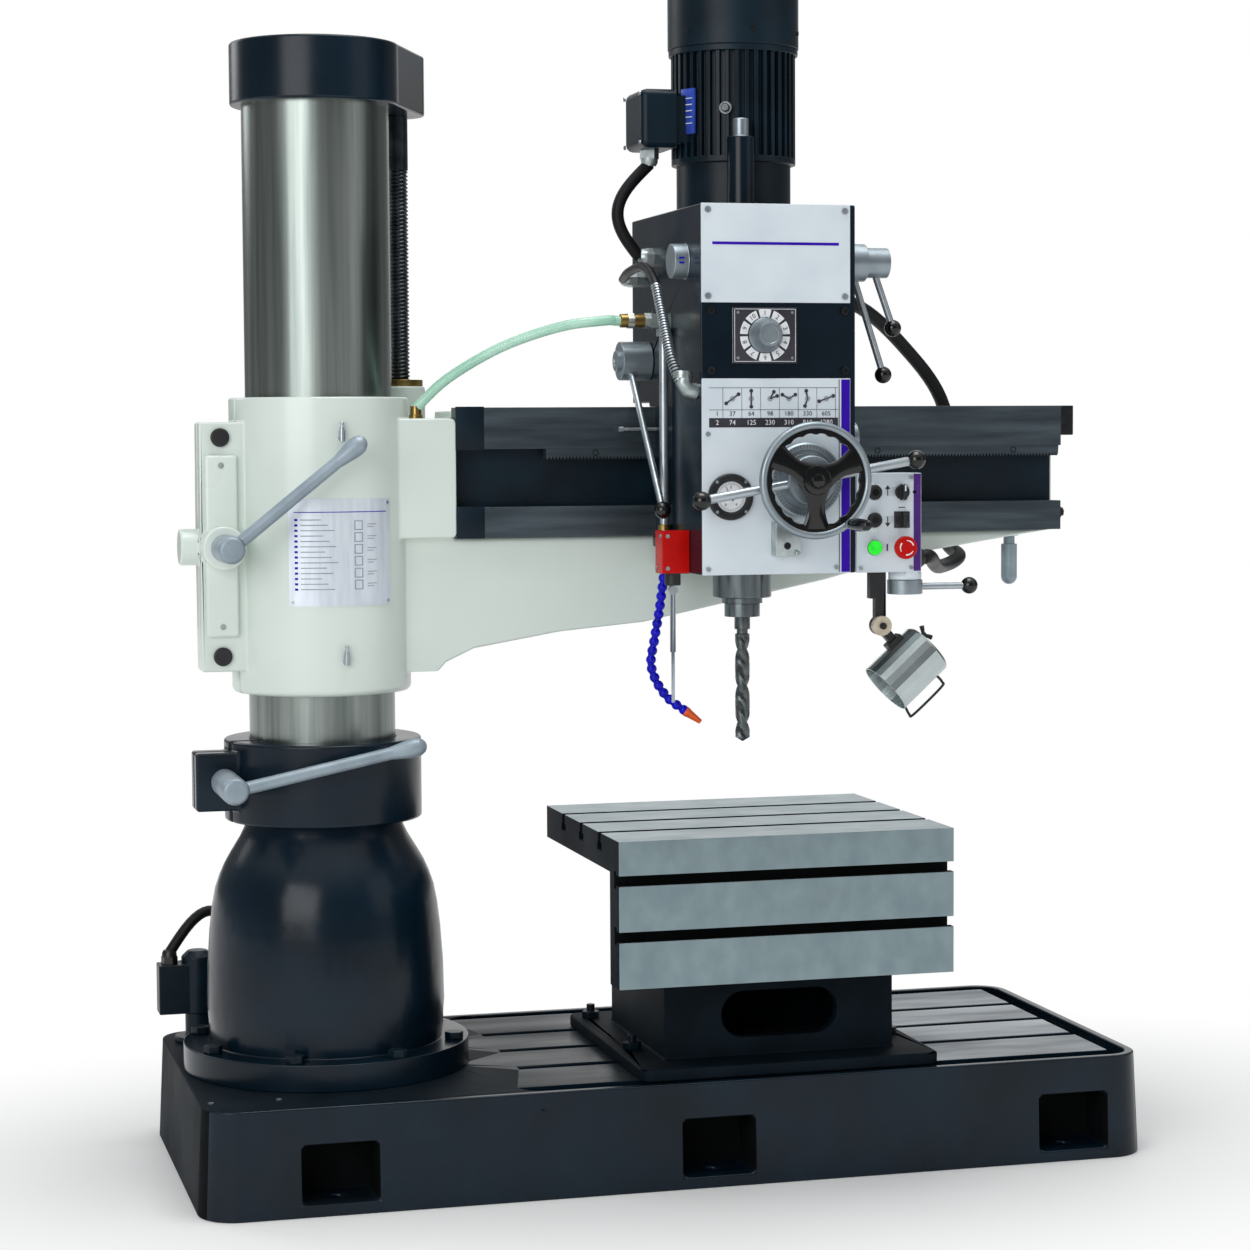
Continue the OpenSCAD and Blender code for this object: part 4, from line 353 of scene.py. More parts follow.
def softened(node, finishNames, edge=0.0, steps=2, pick=None, rounds=None, angle=38):
    # a copy of a solid, welded, with the edges rounded as on the real casting; pick gives each face its
    # finish, and rounds gives an edge its own radius, or none at 0, from its middle, its direction and
    # whether it stands out
    shape = bmesh.new()
    shape.from_mesh(cadNodes[node].data)
    bmesh.ops.remove_doubles(shape, verts=shape.verts, dist=2e-5)
    bmesh.ops.dissolve_limit(shape, angle_limit=radians(0.6), verts=shape.verts, edges=shape.edges,
                             use_dissolve_boundaries=False, delimit=set())
    notched = [f for f in shape.faces if not all(corner.is_convex for corner in f.loops)]
    bmesh.ops.triangulate(shape, faces=notched)
    shape.normal_update()
    for f in shape.faces:
        f.material_index = pick(f.calc_center_median(), f.normal) if pick else 0
    weight = shape.edges.layers.float.new("bevel_weight_edge")
    radii = {}
    for e in shape.edges:
        if edge and len(e.link_faces) == 2 and e.calc_face_angle() > radians(40):
            a, b = e.verts[0].co, e.verts[1].co
            chosen = rounds((a + b) / 2, (b - a).normalized(), e.is_convex) if rounds else None
            radii[e] = edge if chosen is None else chosen
    widest = max(radii.values(), default=0)
    for e, r in radii.items():
        e[weight] = r / widest
    mesh = bpy.data.meshes.new(node + "Looks")
    shape.to_mesh(mesh)
    shape.free()
    if widest:
        mesh.shade_smooth()
        holder = bpy.data.objects.new("holder", mesh)
        bpy.context.scene.collection.objects.link(holder)
        bevel = holder.modifiers.new("edges", "BEVEL")
        bevel.width = widest
        bevel.segments = steps
        bevel.limit_method = "WEIGHT"
        bevel.use_clamp_overlap = False
        holder.modifiers.new("flats", "WEIGHTED_NORMAL").keep_sharp = True
        bpy.context.view_layer.update()
        rounded = bpy.data.meshes.new_from_object(holder.evaluated_get(bpy.context.evaluated_depsgraph_get()))
        bpy.data.objects.remove(holder)
        bpy.data.meshes.remove(mesh)
        mesh = rounded
    return placed(mesh, node + "Looks", finishNames, bodyOf[node], [node],
                  0 if widest else angle)


# geometry nodes for what repeats: one tree for each kind of copy
def geometryTree(name, **inputs):
    tree = bpy.data.node_groups.new(name, "GeometryNodeTree")
    tree.interface.new_socket("Geometry", in_out="INPUT", socket_type="NodeSocketGeometry")
    for label, kind in {**inputs, "finish": "Material"}.items():
        tree.interface.new_socket(label, in_out="INPUT", socket_type="NodeSocket" + kind)
    tree.interface.new_socket("Geometry", in_out="OUTPUT", socket_type="NodeSocketGeometry")
    return tree, add(tree, "NodeGroupInput").outputs, add(tree, "NodeGroupOutput")


def spread(tree, into, result, copy):
    # copies stand on the points, with their Z along the point's aim, and end as one plain mesh
    aim = add(tree, "GeometryNodeInputNamedAttribute", {"Name": "aim"}, data_type="FLOAT_VECTOR").outputs[0]
    turn = add(tree, "FunctionNodeAlignRotationToVector", {"Vector": aim}, axis="Z").outputs[0]
    stood = add(tree, "GeometryNodeInstanceOnPoints", {"Points": into["Geometry"], "Instance": copy,
                                                       "Rotation": turn}).outputs[0]
    real = add(tree, "GeometryNodeRealizeInstances", {0: stood}).outputs[0]
    inked = add(tree, "GeometryNodeSetMaterial", {"Geometry": real, "Material": into["finish"]}).outputs[0]
    tree.links.new(inked, result.inputs[0])
    return tree


def scaled(tree, value, share):
    return add(tree, "ShaderNodeMath", {0: value, 1: share}, operation="MULTIPLY").outputs[0]


def screwTree():
    # a round head with a recess, its underside at the point
    tree, into, result = geometryTree("screwTree", radius="Float", height="Float", recess="Float",
                                      sides="Int")
    height = into["height"]
    head = add(tree, "GeometryNodeMeshCylinder", {"Vertices": into["sides"], "Radius": into["radius"],
                                                  "Depth": height})
    ring = add(tree, "GeometryNodeExtrudeMesh",
               {"Mesh": head.outputs["Mesh"], "Selection": head.outputs["Top"], "Offset Scale": 0.0})
    inset = add(tree, "GeometryNodeScaleElements", {"Geometry": ring.outputs["Mesh"],
                                                    "Selection": ring.outputs["Top"],
                                                    "Scale": into["recess"]})
    well = add(tree, "GeometryNodeExtrudeMesh", {"Mesh": inset.outputs[0], "Selection": ring.outputs["Top"],
                                                 "Offset Scale": scaled(tree, height, -0.55)})
    lift = add(tree, "ShaderNodeCombineXYZ", {"Z": scaled(tree, height, 0.5)}).outputs[0]
    raised = add(tree, "GeometryNodeTransform",
                 {"Geometry": well.outputs["Mesh"], "Translation": lift}).outputs[0]
    return spread(tree, into, result, raised)


def beadTree():
    # one bead of a jointed hose: a ball on a narrow, slightly flared neck
    tree, into, result = geometryTree("beadTree", ball="Float", neck="Float", length="Float")
    ball = add(tree, "GeometryNodeMeshUVSphere", {"Segments": 16, "Rings": 10,
                                                  "Radius": into["ball"]}).outputs["Mesh"]
    skirt = add(tree, "GeometryNodeMeshCone", {"Vertices": 16, "Radius Top": scaled(tree, into["neck"], 1.12),
                                               "Radius Bottom": into["neck"],
                                               "Depth": into["length"]}).outputs["Mesh"]
    both = add(tree, "GeometryNodeJoinGeometry")
    tree.links.new(ball, both.inputs[0])
    tree.links.new(skirt, both.inputs[0])
    return spread(tree, into, result, both.outputs[0])


def ribTree():
    # one rib of a flexible metal conduit: a short drum on the point
    tree, into, result = geometryTree("ribTree", radius="Float", length="Float", sides="Int")
    drum = add(tree, "GeometryNodeMeshCylinder", {"Vertices": into["sides"], "Radius": into["radius"],
                                                  "Depth": into["length"]}).outputs["Mesh"]
    return spread(tree, into, result, drum)


def tickTree():
    # a thin bar for scales, its length along the point's aim
    tree, into, result = geometryTree("tickTree", length="Float", width="Float")
    size = add(tree, "ShaderNodeCombineXYZ", {"X": into["width"], "Y": into["width"],
                                              "Z": into["length"]}).outputs[0]
    return spread(tree, into, result, add(tree, "GeometryNodeMeshCube", {"Size": size}).outputs["Mesh"])


trees = {"screw": screwTree(), "bead": beadTree(), "rib": ribTree(), "tick": tickTree()}


def repeated(name, kind, spots, finishName, body, slot=None, replaced=(), **sizes):
    # spots are (place, direction) pairs; the tree's named inputs get their sizes by identifier
    mesh = bpy.data.meshes.new(name)
    mesh.from_pydata([tuple(p) for p, d in spots], [], [])
    aim = mesh.attributes.new("aim", "FLOAT_VECTOR", "POINT")
    for i, (p, d) in enumerate(spots):
        aim.data[i].vector = Vector(d).normalized()
    holder = bpy.data.objects.new(name + "Points", mesh)
    bpy.context.scene.collection.objects.link(holder)
    modifier = holder.modifiers.new("copies", "NODES")
    modifier.node_group = trees[kind]
    ids = {i.name: i.identifier for i in trees[kind].interface.items_tree if i.in_out == "INPUT"}
    for label, value in {**sizes, "finish": finishes[finishName]}.items():
        modifier[ids[label]] = value
    bpy.context.view_layer.update()
    real = bpy.data.meshes.new_from_object(holder.evaluated_get(bpy.context.evaluated_depsgraph_get()))
    bpy.data.objects.remove(holder)
    real.name = name
    if "aim" in real.attributes:
        real.attributes.remove(real.attributes["aim"])
    return placed(real, name, finishName, body, replaced)


def screws(name, spots, radius, height, recess, sides=16, finishName="platedSteel", body="head"):
    return repeated(name, "screw", spots, finishName, body, radius=radius, height=height, recess=recess,
                    sides=sides)


# camera, from the photograph's perspective
cameraPlace = dict(at=(-0.8370, -5.2099, 1.3130), yaw=15.04, pitch=3.84, roll=0.34, focal=2937.46,
                   image=1250, middle=632.57, sensor=36.0)


def makeCamera():
    s = SimpleNamespace(**cameraPlace)
    yaw, pitch, roll = map(radians, (s.yaw, s.pitch, s.roll))
    ahead = Vector((sin(yaw) * cos(pitch), cos(yaw) * cos(pitch), -sin(pitch)))
    level = Vector((cos(yaw), -sin(yaw), 0))
    down = ahead.cross(level)
    right = level * cos(roll) + down * sin(roll)
    down = down * cos(roll) - level * sin(roll)
    data = bpy.data.cameras.new("photoCamera")
    data.sensor_width = s.sensor
    data.lens = s.focal * s.sensor / s.image
    data.shift_y = (s.middle - s.image / 2) / s.image
    data.clip_start, data.clip_end = 0.1, 60
    camera = bpy.data.objects.new("photoCamera", data)
    turn = Matrix((right, -down, -ahead)).transposed().to_4x4()
    camera.matrix_world = Matrix.Translation(s.at) @ turn
    bpy.context.scene.collection.objects.link(camera)
    bpy.context.scene.camera = camera


makeCamera()


# cables and hoses: the routes of the solids
def cable(name, points, radius, finishName, body, replaced, slot,
          between=None):
    shape = bmesh.new()
    swept(shape, points, radius)
    piece = made(shape, name, finishName, None if between else body, slot, replaced)
    if between:
        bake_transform(piece)
    return piece


def gland(shape, place, axis, radius, length):
    # a hexagon nut with a domed collar, as on cable glands
    turned(shape, [(0, radius * 1.55), (length * 0.55, radius * 1.55)], place, axis, 0, 6)
    turned(shape, [(length * 0.5, radius * 1.42), (length * 0.8, radius * 1.36), (length, radius * 1.08),
                   (length * 1.02, radius * 0.9)], place, axis, 0, 24)


def glands(name, finishName, body, radius, *spots):
    shape = bmesh.new()
    for place, axis, length in spots:
        gland(shape, place, axis, radius, length)
    return made(shape, name, finishName, body, "cable_rubber")


glandInset = 0.0242
coolantHose = dict(radius=0.009, stub=0.018, points=[
    (0.1642, -0.0606, 1.363), (0.2183, -0.0861, 1.416), (0.3063, -0.1313, 1.4701), (0.401, -0.1765, 1.5039),
    (0.475, -0.202, 1.514), (0.4935, -0.202, 1.514), (0.5025, -0.202, 1.514)],
    barb=[(0, 0.0125), (0.006, 0.0125), (0.007, 0.0105), (0.016, 0.0098), (0.022, 0.0098)])
motorCable = dict(radius=0.011, start=(0.5894, -0.0892, 1.7985), end=(0.5698, -0.0892, 1.6321),
                  bow=(-0.0495, 0, 0))
conduit = dict(radius=0.0095, ribPitch=0.0058, ribLength=0.0031, ribStart=0.46,
               points=[(0.5698, 0.025, 1.5985), (0.5548, -0.0726, 1.6065), (0.5548, -0.1703, 1.6106),
                       (0.5548, -0.2405, 1.5824), (0.5548, -0.2874, 1.5259), (0.5548, -0.3382, 1.4533),
                       (0.5623, -0.3616, 1.413), (0.5698, -0.3655, 1.3969)])
elbow = dict(path=[(0.004, 0.001, 0.022), (0.001, 0, 0.006), (0.008, 0, -0.006), (0.0245, 0, -0.009)],
             radius=0.0142, collar=(-0.0005, 0.001, 0.012), collarAxis=(0.06, 0.12, 1), collarRadius=0.0165)
# the large cable is clipped to the back of the arm, and is made in two halves
headCable = dict(radius=0.013, split=4, armBack=0.085, clip=0.012, points=[
    (0.8962, 0.025, 1.558), (1.026, 0.055, 1.558), (1.1607, 0.1305, 1.4755), (1.2444, 0.145, 1.364),
    (1.257, 0.145, 1.2049), (1.2444, 0.1305, 1.1071), (1.2193, 0.0, 1.0811), (1.1313, -0.122, 1.0678),
    (1.0394, -0.3158, 1.0945), (1.0152, -0.34, 1.0945)])
pumpCable = dict(radius=0.010, start=(-0.252, 0.262, 0.353), end=(-0.052, 0.292, 0.206), bow=(0, 0, 0.140),
                 inset=0.02)


def makeCables():
    s = SimpleNamespace(**coolantHose)
    hose = smoothPath(s.points, 6)
    barb = lathe("hoseBarb", "turnedBrass", "arm", "bronze", (s.barb, Vector(s.points[0]) - toTop * s.stub,
                                                              toTop))
    cable("coolantHoseLooks", hose, s.radius, "vinylHose", "arm", ["coolant_hose"], "green_hose",
          between=("arm", "head", hose[3], hose[-8]))

    s = SimpleNamespace(**motorCable)
    path = bowPath(s.start, s.end, s.bow, 24)
    ends = glands("motorCableGlands", "castZinc", "head", s.radius,
                  (path[0] + toTop * glandInset, -toTop, 0.028),
                  (path[-1] + toRight * glandInset, -toRight, 0.024))
    cable("motorCableLooks", path, s.radius, "rubberSheath", "head", ["motor_cable"], "cable_rubber")

    s = SimpleNamespace(**conduit)
    path = smoothPath(s.points, 8)
    low = path[-1]
    shape = bmesh.new()
    gland(shape, path[0] + toRight * glandInset, -toRight, s.radius, 0.026)
    c = SimpleNamespace(**elbow)
    swept(shape, [low + Vector(p) for p in c.path], c.radius)
    turned(shape, [(0, c.collarRadius), (0.012, c.collarRadius)], low + Vector(c.collar), c.collarAxis, 0, 24)
    ends = made(shape, "conduitElbows", "castZinc", "head", "cable_rubber")
    cable("conduitSheath", path, s.radius * 0.86, "rubberSheath", "head", ["sensor_conduit"], "cable_rubber")
    # steel ribs cover the lower part
    ribbed = path[int(len(path) * s.ribStart):]
    count = int(pathLength(ribbed) / s.ribPitch)
    spots, walked = [], 0.0
    for a, b in zip(ribbed, ribbed[1:]):
        run = (b - a).length
        while walked < run:
            spots.append((a.lerp(b, walked / run), b - a))
            walked += s.ribPitch
        walked -= run
    repeated("conduitRibs", "rib", spots[:count], "platedSteel", "head", "bright_steel", radius=s.radius,
             length=s.ribLength, sides=20)

    s = SimpleNamespace(**headCable)
    r = s.radius
    path = smoothPath(s.points, 8)
    cut = s.split * 8
    upper = glands("headCableGland", "blackMoulded", "head", r,
                   (path[0] - toRight * glandInset, toRight, 0.03))
    lower = glands("boxCableGland", "blackMoulded", "head", r,
                   (path[-1] - toRight * glandInset, toRight, 0.026))
    cable("headCableUpper", path[:cut + 1], r, "rubberSheath", "head", ["head_cable"], "cable_rubber",
          between=("head", "arm", path[3], path[cut - 2]))
    cable("headCableLower", path[cut:], r, "rubberSheath", "arm", (), "cable_rubber",
          between=("arm", "head", path[cut + 17], path[-6]))
    shape = bmesh.new()
    middle, half = path[cut], s.clip
    turned(shape, [(-half, r * 1.22), (half, r * 1.22)], middle, path[cut + 1] - path[cut - 1], 0, 24)
    block(shape, (middle.x - half, s.armBack, middle.z - 0.011),
          (middle.x + half, middle.y, middle.z + 0.011), 0, 0.002)
    made(shape, "cableClip", "blackMoulded", "arm", "black_metal")

    s = SimpleNamespace(**pumpCable)
    path = bowPath(s.start, s.end, s.bow, 24)
    ends = glands("pumpCableGlands", "blackMoulded", "base", s.radius,
                  *((p - toTop * s.inset, toTop, 0.026) for p in (path[0], path[-1])))
    cable("pumpCableLooks", path, s.radius, "rubberSheath", "base", ["pump_cable"], "cable_rubber")


makeCables()
print("camera and cables made")


# castings: welded copies of the solids with rounded edges, as node, finishes, radius, steps, faces and edges
def castings():
    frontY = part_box("base_casting")[0].y
    boxLow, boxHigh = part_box("control_box")

    def bedTop(c, n):
        # the insides of the front pockets take the near-black painted shade
        if frontY + (0.05 if n.y < -0.5 else 0.01) < c.y < frontY + 0.2 and 0.02 < c.z < 0.165 and n.z < 0.95:
            return 2
        if n.z > 0.9 and c.z > 0.1855 and 0.28 < c.x < 1.4 and abs(c.y) < 0.31:
            return 1
        # the left face and the top at the left end take the duller copy of the paint, as painted shade
        return 3 if c.x < (0.3 if n.z > 0.9 else -0.2) and max(n.z, -n.x) > 0.9 else 0

    def tableFaces(c, n):
        # the insides of the slots take the near-black painted shade
        if abs(n.x) < 0.5 and (-0.3605 < c.y < -0.31 and c.z < 0.6 or 0.55 < c.z < 0.6142 and c.y > -0.355):
            return 2
        # the underside, back and ends take the duller copy of the paint, which darkens them as painted shade
        painted = n.z < -0.5 or c.y > 0.16 or (abs(n.x) > 0.7 and (c.x < 0.4525 or c.x > 1.0675))
        return 1 if painted else 0

    def armFaces(c, n):
        return 1 if n.y < -0.5 and c.x > 0.23 and 1.18 < c.z < 1.3 and abs(c.y + 0.061) < 0.002 else 0

    def headFaces(c, n):
        if c.z < 1.0725 and hypot(c.x - 0.717, c.y + 0.23) < 0.056:
            return 2
        if c.z > 1.8365 and hypot(c.x - 0.717, c.y + 0.23) < 0.02:
            return 1
        return 1 if c.x < 0.5935 and abs(c.y + 0.3) < 0.034 and abs(c.z - 1.613) < 0.034 else 0

    def switchFaces(c, n):
        return 1 if c.z < 1.0735 else 0

    def pipeFaces(c, n):
        if c.x < 0.5575 or 1.1 < c.z < 1.156 and hypot(c.x - 0.582, c.y + 0.202) > 0.009:
            return 1
        return 2 if c.z > 1.5 else 0

    def pockets(c, d, convex):
        return 0.014 if abs(d.y) > 0.9 and c.y < frontY + 0.17 and 0.02 < c.z < 0.17 else None

    def sleeveEdges(c, d, convex):
        if not convex:
            return None
        if c.z < 0.865 and hypot(c.x, c.y) > 0.15:
            return 0.011
        return 0.009 if c.x > 0.19 and c.z > 1.12 and c.y < -0.05 else None

    def boxEdges(c, d, convex):
        return 0.013 if convex and c.x < 0.618 and -0.152 < c.y < -0.026 and 1.82 < c.z < 1.93 else None

    def hubEdges(c, d, convex):
        return 0.009 if convex and c.y < -0.214 and abs(c.x + 0.186) < 0.032 else None

    def frontEdges(c, d, convex):
        return None if min(abs(c[i] - v[i]) for v in (boxLow, boxHigh) for i in (0, 2)) < 0.002 else 0

    def capEdges(c, d, convex):
        return None if convex else 0

    for row in (
            ("base_casting", "anthraciteGloss oiledBed rawCasting anthraciteMatt", 0.003, 4, bedTop, pockets),
            ("column_pedestal", "anthraciteGloss", 0.002),
            ("base_bolts", "anthraciteSatin", 0.0015),
            ("clamp_collar", "anthraciteGloss", 0.005, 3),
            ("work_table", "milledIron anthraciteMatt rawCasting", 0.0012, 2, tableFaces),
            # the stand lies in the table's shade, shown by the duller copy of the paint as painted shade
            ("table_stand", "anthraciteMatt", 0.004),
            ("coolant_pump", "anthraciteSatin", 0.002),
            ("column_clamp_lever", "silverPaint", 0.0006, 3, None, hubEdges),
            ("arm_clamp_lever", "silverPaint", 0.0006, 3, None, hubEdges),
            ("outer_column", "groundSteel"),
            ("column_cap", "anthraciteGloss", 0.005, 3),
            ("arm_casting", "paleGloss anthraciteSatin", 0.004, 3, armFaces, sleeveEdges),
            ("arm_ways", "waysIron", 0.001),
            ("traverse_rack", "waysIron"),
            ("elevating_nut", "turnedBrass", 0.0008),
            ("clamp_plugs", "blackMoulded", 0.003, 3),
            ("arm_end_stop", "blackOxide", 0.002),
            ("pull_handle", "silverPaint", 0.001),
            ("head_casting", "anthraciteGloss polishedAluminium turnedSteel", 0.0025, 2, headFaces),
            ("front_panels", "greySheet", 0.0012),
            ("motor_frame", "anthraciteSatin", 0.0012, 3, None, boxEdges),
            ("fan_cowl", "anthraciteSatin", 0.002),
            ("control_box", "greySheet", 0.0015, 2, None, frontEdges),
            ("lamp_bracket", "blackMoulded", 0.0012),
            ("safety_switch", "redMoulded blackMoulded", 0.002, 3, switchFaces),
            ("coolant_pipe", "platedSteel turnedBrass castZinc", 0.0008, 2, pipeFaces),
            ("traverse_shaft", "platedSteel"),
            ("feed_sleeve", "platedSteel"),
            ("quill", "turnedSteel"),
            ("spindle", "turnedSteel", 0.0008),
            ("trip_rod", "platedSteel"),
            ("selector_knob", "blackMoulded", 0.0015),
            ("rocker_switch", "blackMoulded", 0.0015),
            ("button_up", "blackMoulded", 0.0015, 2, None, capEdges),
            ("button_down", "blackMoulded", 0.0015, 2, None, capEdges),
            ("button_start", "greenLens", 0.0015, 2, None, capEdges),
            ("stop_button", "redMoulded", 0.004, 3, None, capEdges)):
        softened(*row)


castings()
# parts that stay out of sight keep their solids, with a machined finish
for node, look in (("inner_post", "oiledBed"), ("column_bearing", "turnedBrass"),
                   ("lift_motor", "anthraciteSatin"), ("drive_sleeve", "blackOxide"),
                   ("motor_rotor", "blackOxide")):
    cadNodes[node].data.materials.clear()
    cadNodes[node].data.materials.append(finishes[look])
print("castings softened")

# levers: bright rod, satin hub, black ball
leverSizes = dict(ball=0.0155, touch=1.06, inner=(0.957, -0.3, 1.417), outer=(-0.3, 1.499),
                  start=(1.0965, -0.36, 1.045), clamp=(0.5559, -0.2838, 1.1827), speedHub=1.578)


def levers():
    s = SimpleNamespace(**leverSizes)

    def lever(node, edge, ball, isHub):
        def faces(c, n):
            if (c - Vector(ball)).length < s.ball * s.touch:
                return 2
            return 1 if isHub(c) else 0
        softened(node, "platedSteel polishedAluminium blackPhenolic", edge, 2, faces)

    def speedHub(c):
        return c.z > s.speedHub

    outerBall = (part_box("speed_lever_outer")[1].x - 0.015, *s.outer)
    lever("speed_lever_inner", 0.001, s.inner, speedHub)
    lever("speed_lever_outer", 0.001, outerBall, speedHub)
    lever("start_lever", 0.001, s.start, lambda c: hypot(c.x - 0.9755, c.y + 0.36) < 0.032)
    lever("head_clamp_lever", 0.0015, s.clamp, lambda c: hypot(c.y + 0.062, c.z - 1.447) < 0.036)


levers()

# elevating screw: trapezoidal thread below a plain journal
screwSizes = dict(x=0.172, y=0.130, outer=0.019, root=0.0162, pitch=0.007, low=1.196, threadTop=1.8,
                  top=1.8955, journal=0.014, journalTop=1.9755, sides=20, rowsPerPitch=5)


def elevatingScrew():
    s = SimpleNamespace(**screwSizes)
    shape = bmesh.new()
    rings = []
    for i in range(int((s.threadTop - s.low) / s.pitch * s.rowsPerPitch) + 1):
        z = s.low + i * s.pitch / s.rowsPerPitch
        ring = []
        for k, turn in enumerate(around(s.sides)):
            share = (z / s.pitch - k / s.sides) % 1
            height = min(max(abs(share - 0.5) * 4 - 0.5, 0), 1)
            r = s.outer - (s.outer - s.root) * height
            ring.append(shape.verts.new((s.x + r * cos(turn), s.y + r * sin(turn), z)))
        rings.append(ring)
    bridge(shape, rings)
    turned(shape, [(s.threadTop - 0.001, s.outer), (s.top, s.outer), (s.top, s.journal),
                   (s.journalTop, s.journal)], (s.x, s.y, 0), toTop, 0, 32)
    made(shape, "elevatingScrewThread", "threadSteel", "screw", "ground_steel", ["elevating_screw"])


elevatingScrew()

# drill: two flutes in a right-hand helix, with a 118 degree point
drillSizes = dict(x=0.717, y=-0.230, radius=0.013, top=0.991, low=0.768, shank=0.03, lead=0.13, sides=64,
                  runOut=0.012, rows=170, tip=0.0078, web=0.34, neck=0.023, grooveEnd=0.031, shankShare=1.07,
                  grooveShare=0.76)


def drillBit():
    s = SimpleNamespace(**drillSizes)
    shape = bmesh.new()
    rings = []
    for i in range(s.rows + 1):
        z = s.top - (s.top - s.low - 0.0002) * i / s.rows
        down = s.top - z
        depth = min(max((s.top - s.shank - z) / s.runOut, 0), 1)
        cone = min(1, (z - s.low) / s.tip)
        shank = s.shankShare if down < s.neck else s.grooveShare if down < s.grooveEnd else 1
        ring = []
        for turn in around(s.sides):
            phase = cos(2 * (turn - 2 * pi * down / s.lead))
            flute = max(0, (phase + 0.05) / 1.05) ** 0.5
            margin = 0.03 if -0.8 < phase < -0.2 else 0
            r = s.radius * (1 - depth * ((1 - s.web) * flute * 0.82 + margin))
            r = min(r * max(shank, 1), s.radius * cone + 0.0003 if cone < 1 else 1, s.radius * shank)
            ring.append(shape.verts.new((s.x + r * cos(turn), s.y + r * sin(turn), z)))
        rings.append(ring)
    bridge(shape, rings)
    made(shape, "drillFlutes", "drillSteel", "spindle", "bright_steel", ["drill_bit"])


drillBit()

# handwheel: bright rim, black inner ring with finger waves, three broad spokes, a turning grip
wheelSizes = dict(x=0.7685, z=1.235, y=-0.485, rim=0.1, rimIn=0.0862, half=0.0075, ring=0.08, ringHalf=0.0045,
                  wave=0.0028, waves=10, hub=0.027, spokes=(150, 25, 270), spokeIn=0.027, spokeOut=0.05,
                  spokeHalf=0.0055, dish=0.006, grip=-53, gripRadius=0.011, gripStart=-0.4925, gripEnd=-0.595)


def handwheel():
    s = SimpleNamespace(**wheelSizes)
    shape = bmesh.new()
    centre = Vector((s.x, s.y, s.z))

    def ringed(profile, ink, steps, wave=None):
        rows = []
        for turn in around(steps):
            rows.append([shape.verts.new(centre + facing(turn) * (r + (wave(turn) if wave and i < 2 else 0))
                                         - toFront * y) for i, (r, y) in enumerate(profile)])
        bridge(shape, rows, ink, loop=True)

    def rounded(value, power):
        return copysign(abs(value) ** power, value)

    middle, wide = (s.rim + s.rimIn) / 2, (s.rim - s.rimIn) / 2
    ringed([(middle + wide * cos(a), s.half * sin(a)) for a in around(16)], 0, 96)
    inner, outer, half = s.ring, s.rimIn + 0.002, s.ringHalf
    ringed([(inner, -half), (inner, half), (outer, half), (outer, -half)], 1, 120,
           lambda t: -s.wave * max(0, cos(t * s.waves * 2)))
    start = s.hub * 0.6
    for degrees in s.spokes:
        turn = radians(degrees)
        side = facing(turn + pi / 2)
        rows = []
        for share in [i / 8 for i in range(9)]:
            half = (s.spokeIn + (s.spokeOut - s.spokeIn) * abs(share - 0.45) ** 1.6 * 2.2) / 2
            reach = start + (s.ring + 0.002 - start) * share
            at = centre + facing(turn) * reach + toFront * s.dish * (1 - share)
            rows.append([shape.verts.new(at + side * half * 1.1 * rounded(cos(a + 0.26), 0.6)
                                         - toFront * s.spokeHalf * rounded(sin(a + 0.26), 0.7))
                         for a in around(12)])
        bridge(shape, rows, 1)
    turned(shape, [(-0.014, 0.022), (-0.012, s.hub), (0.008, s.hub), (0.0125, 0.024), (0.0135, 0.02),
                   (0.0135, 0.0125), (0.0175, 0.0115), (0.019, 0.008), (0.0195, 0)], centre, toFront, 1, 48)
    at = centre + middle * facing(radians(s.grip))
    at.y = s.gripStart
    r, long = s.gripRadius, s.gripStart - s.gripEnd
    turned(shape, [(-0.004, 0.006), (0.006, 0.006), (0.006, 0.0085), (0.011, 0.0085), (0.0112, 0.007),
                   (0.014, 0.0078), (0.025, r * 0.92), (0.05, r), (0.075, r * 0.96), (long - 0.012, r * 0.86),
                   (long - 0.004, r * 0.62), (long, 0.0)], at, toFront, [0] * 5 + [1] * 6, 32)
    made(shape, "handwheelRim", "polishedAluminium blackPhenolic", "wheel", "bright_steel", ["handwheel"])


handwheel()

# feed capstan: graduated drum, hub, and a through bar with ball ends
capstanSizes = dict(x=0.7685, z=1.235, drum=0.064, back=-0.409, front=-0.441, hub=0.042, hubFront=-0.469,
                    barY=-0.455, slope=9.8, half=0.1955, bar=0.008, ball=0.0165, ticks=60,
                    tickReach=(0.0568, 0.0578))


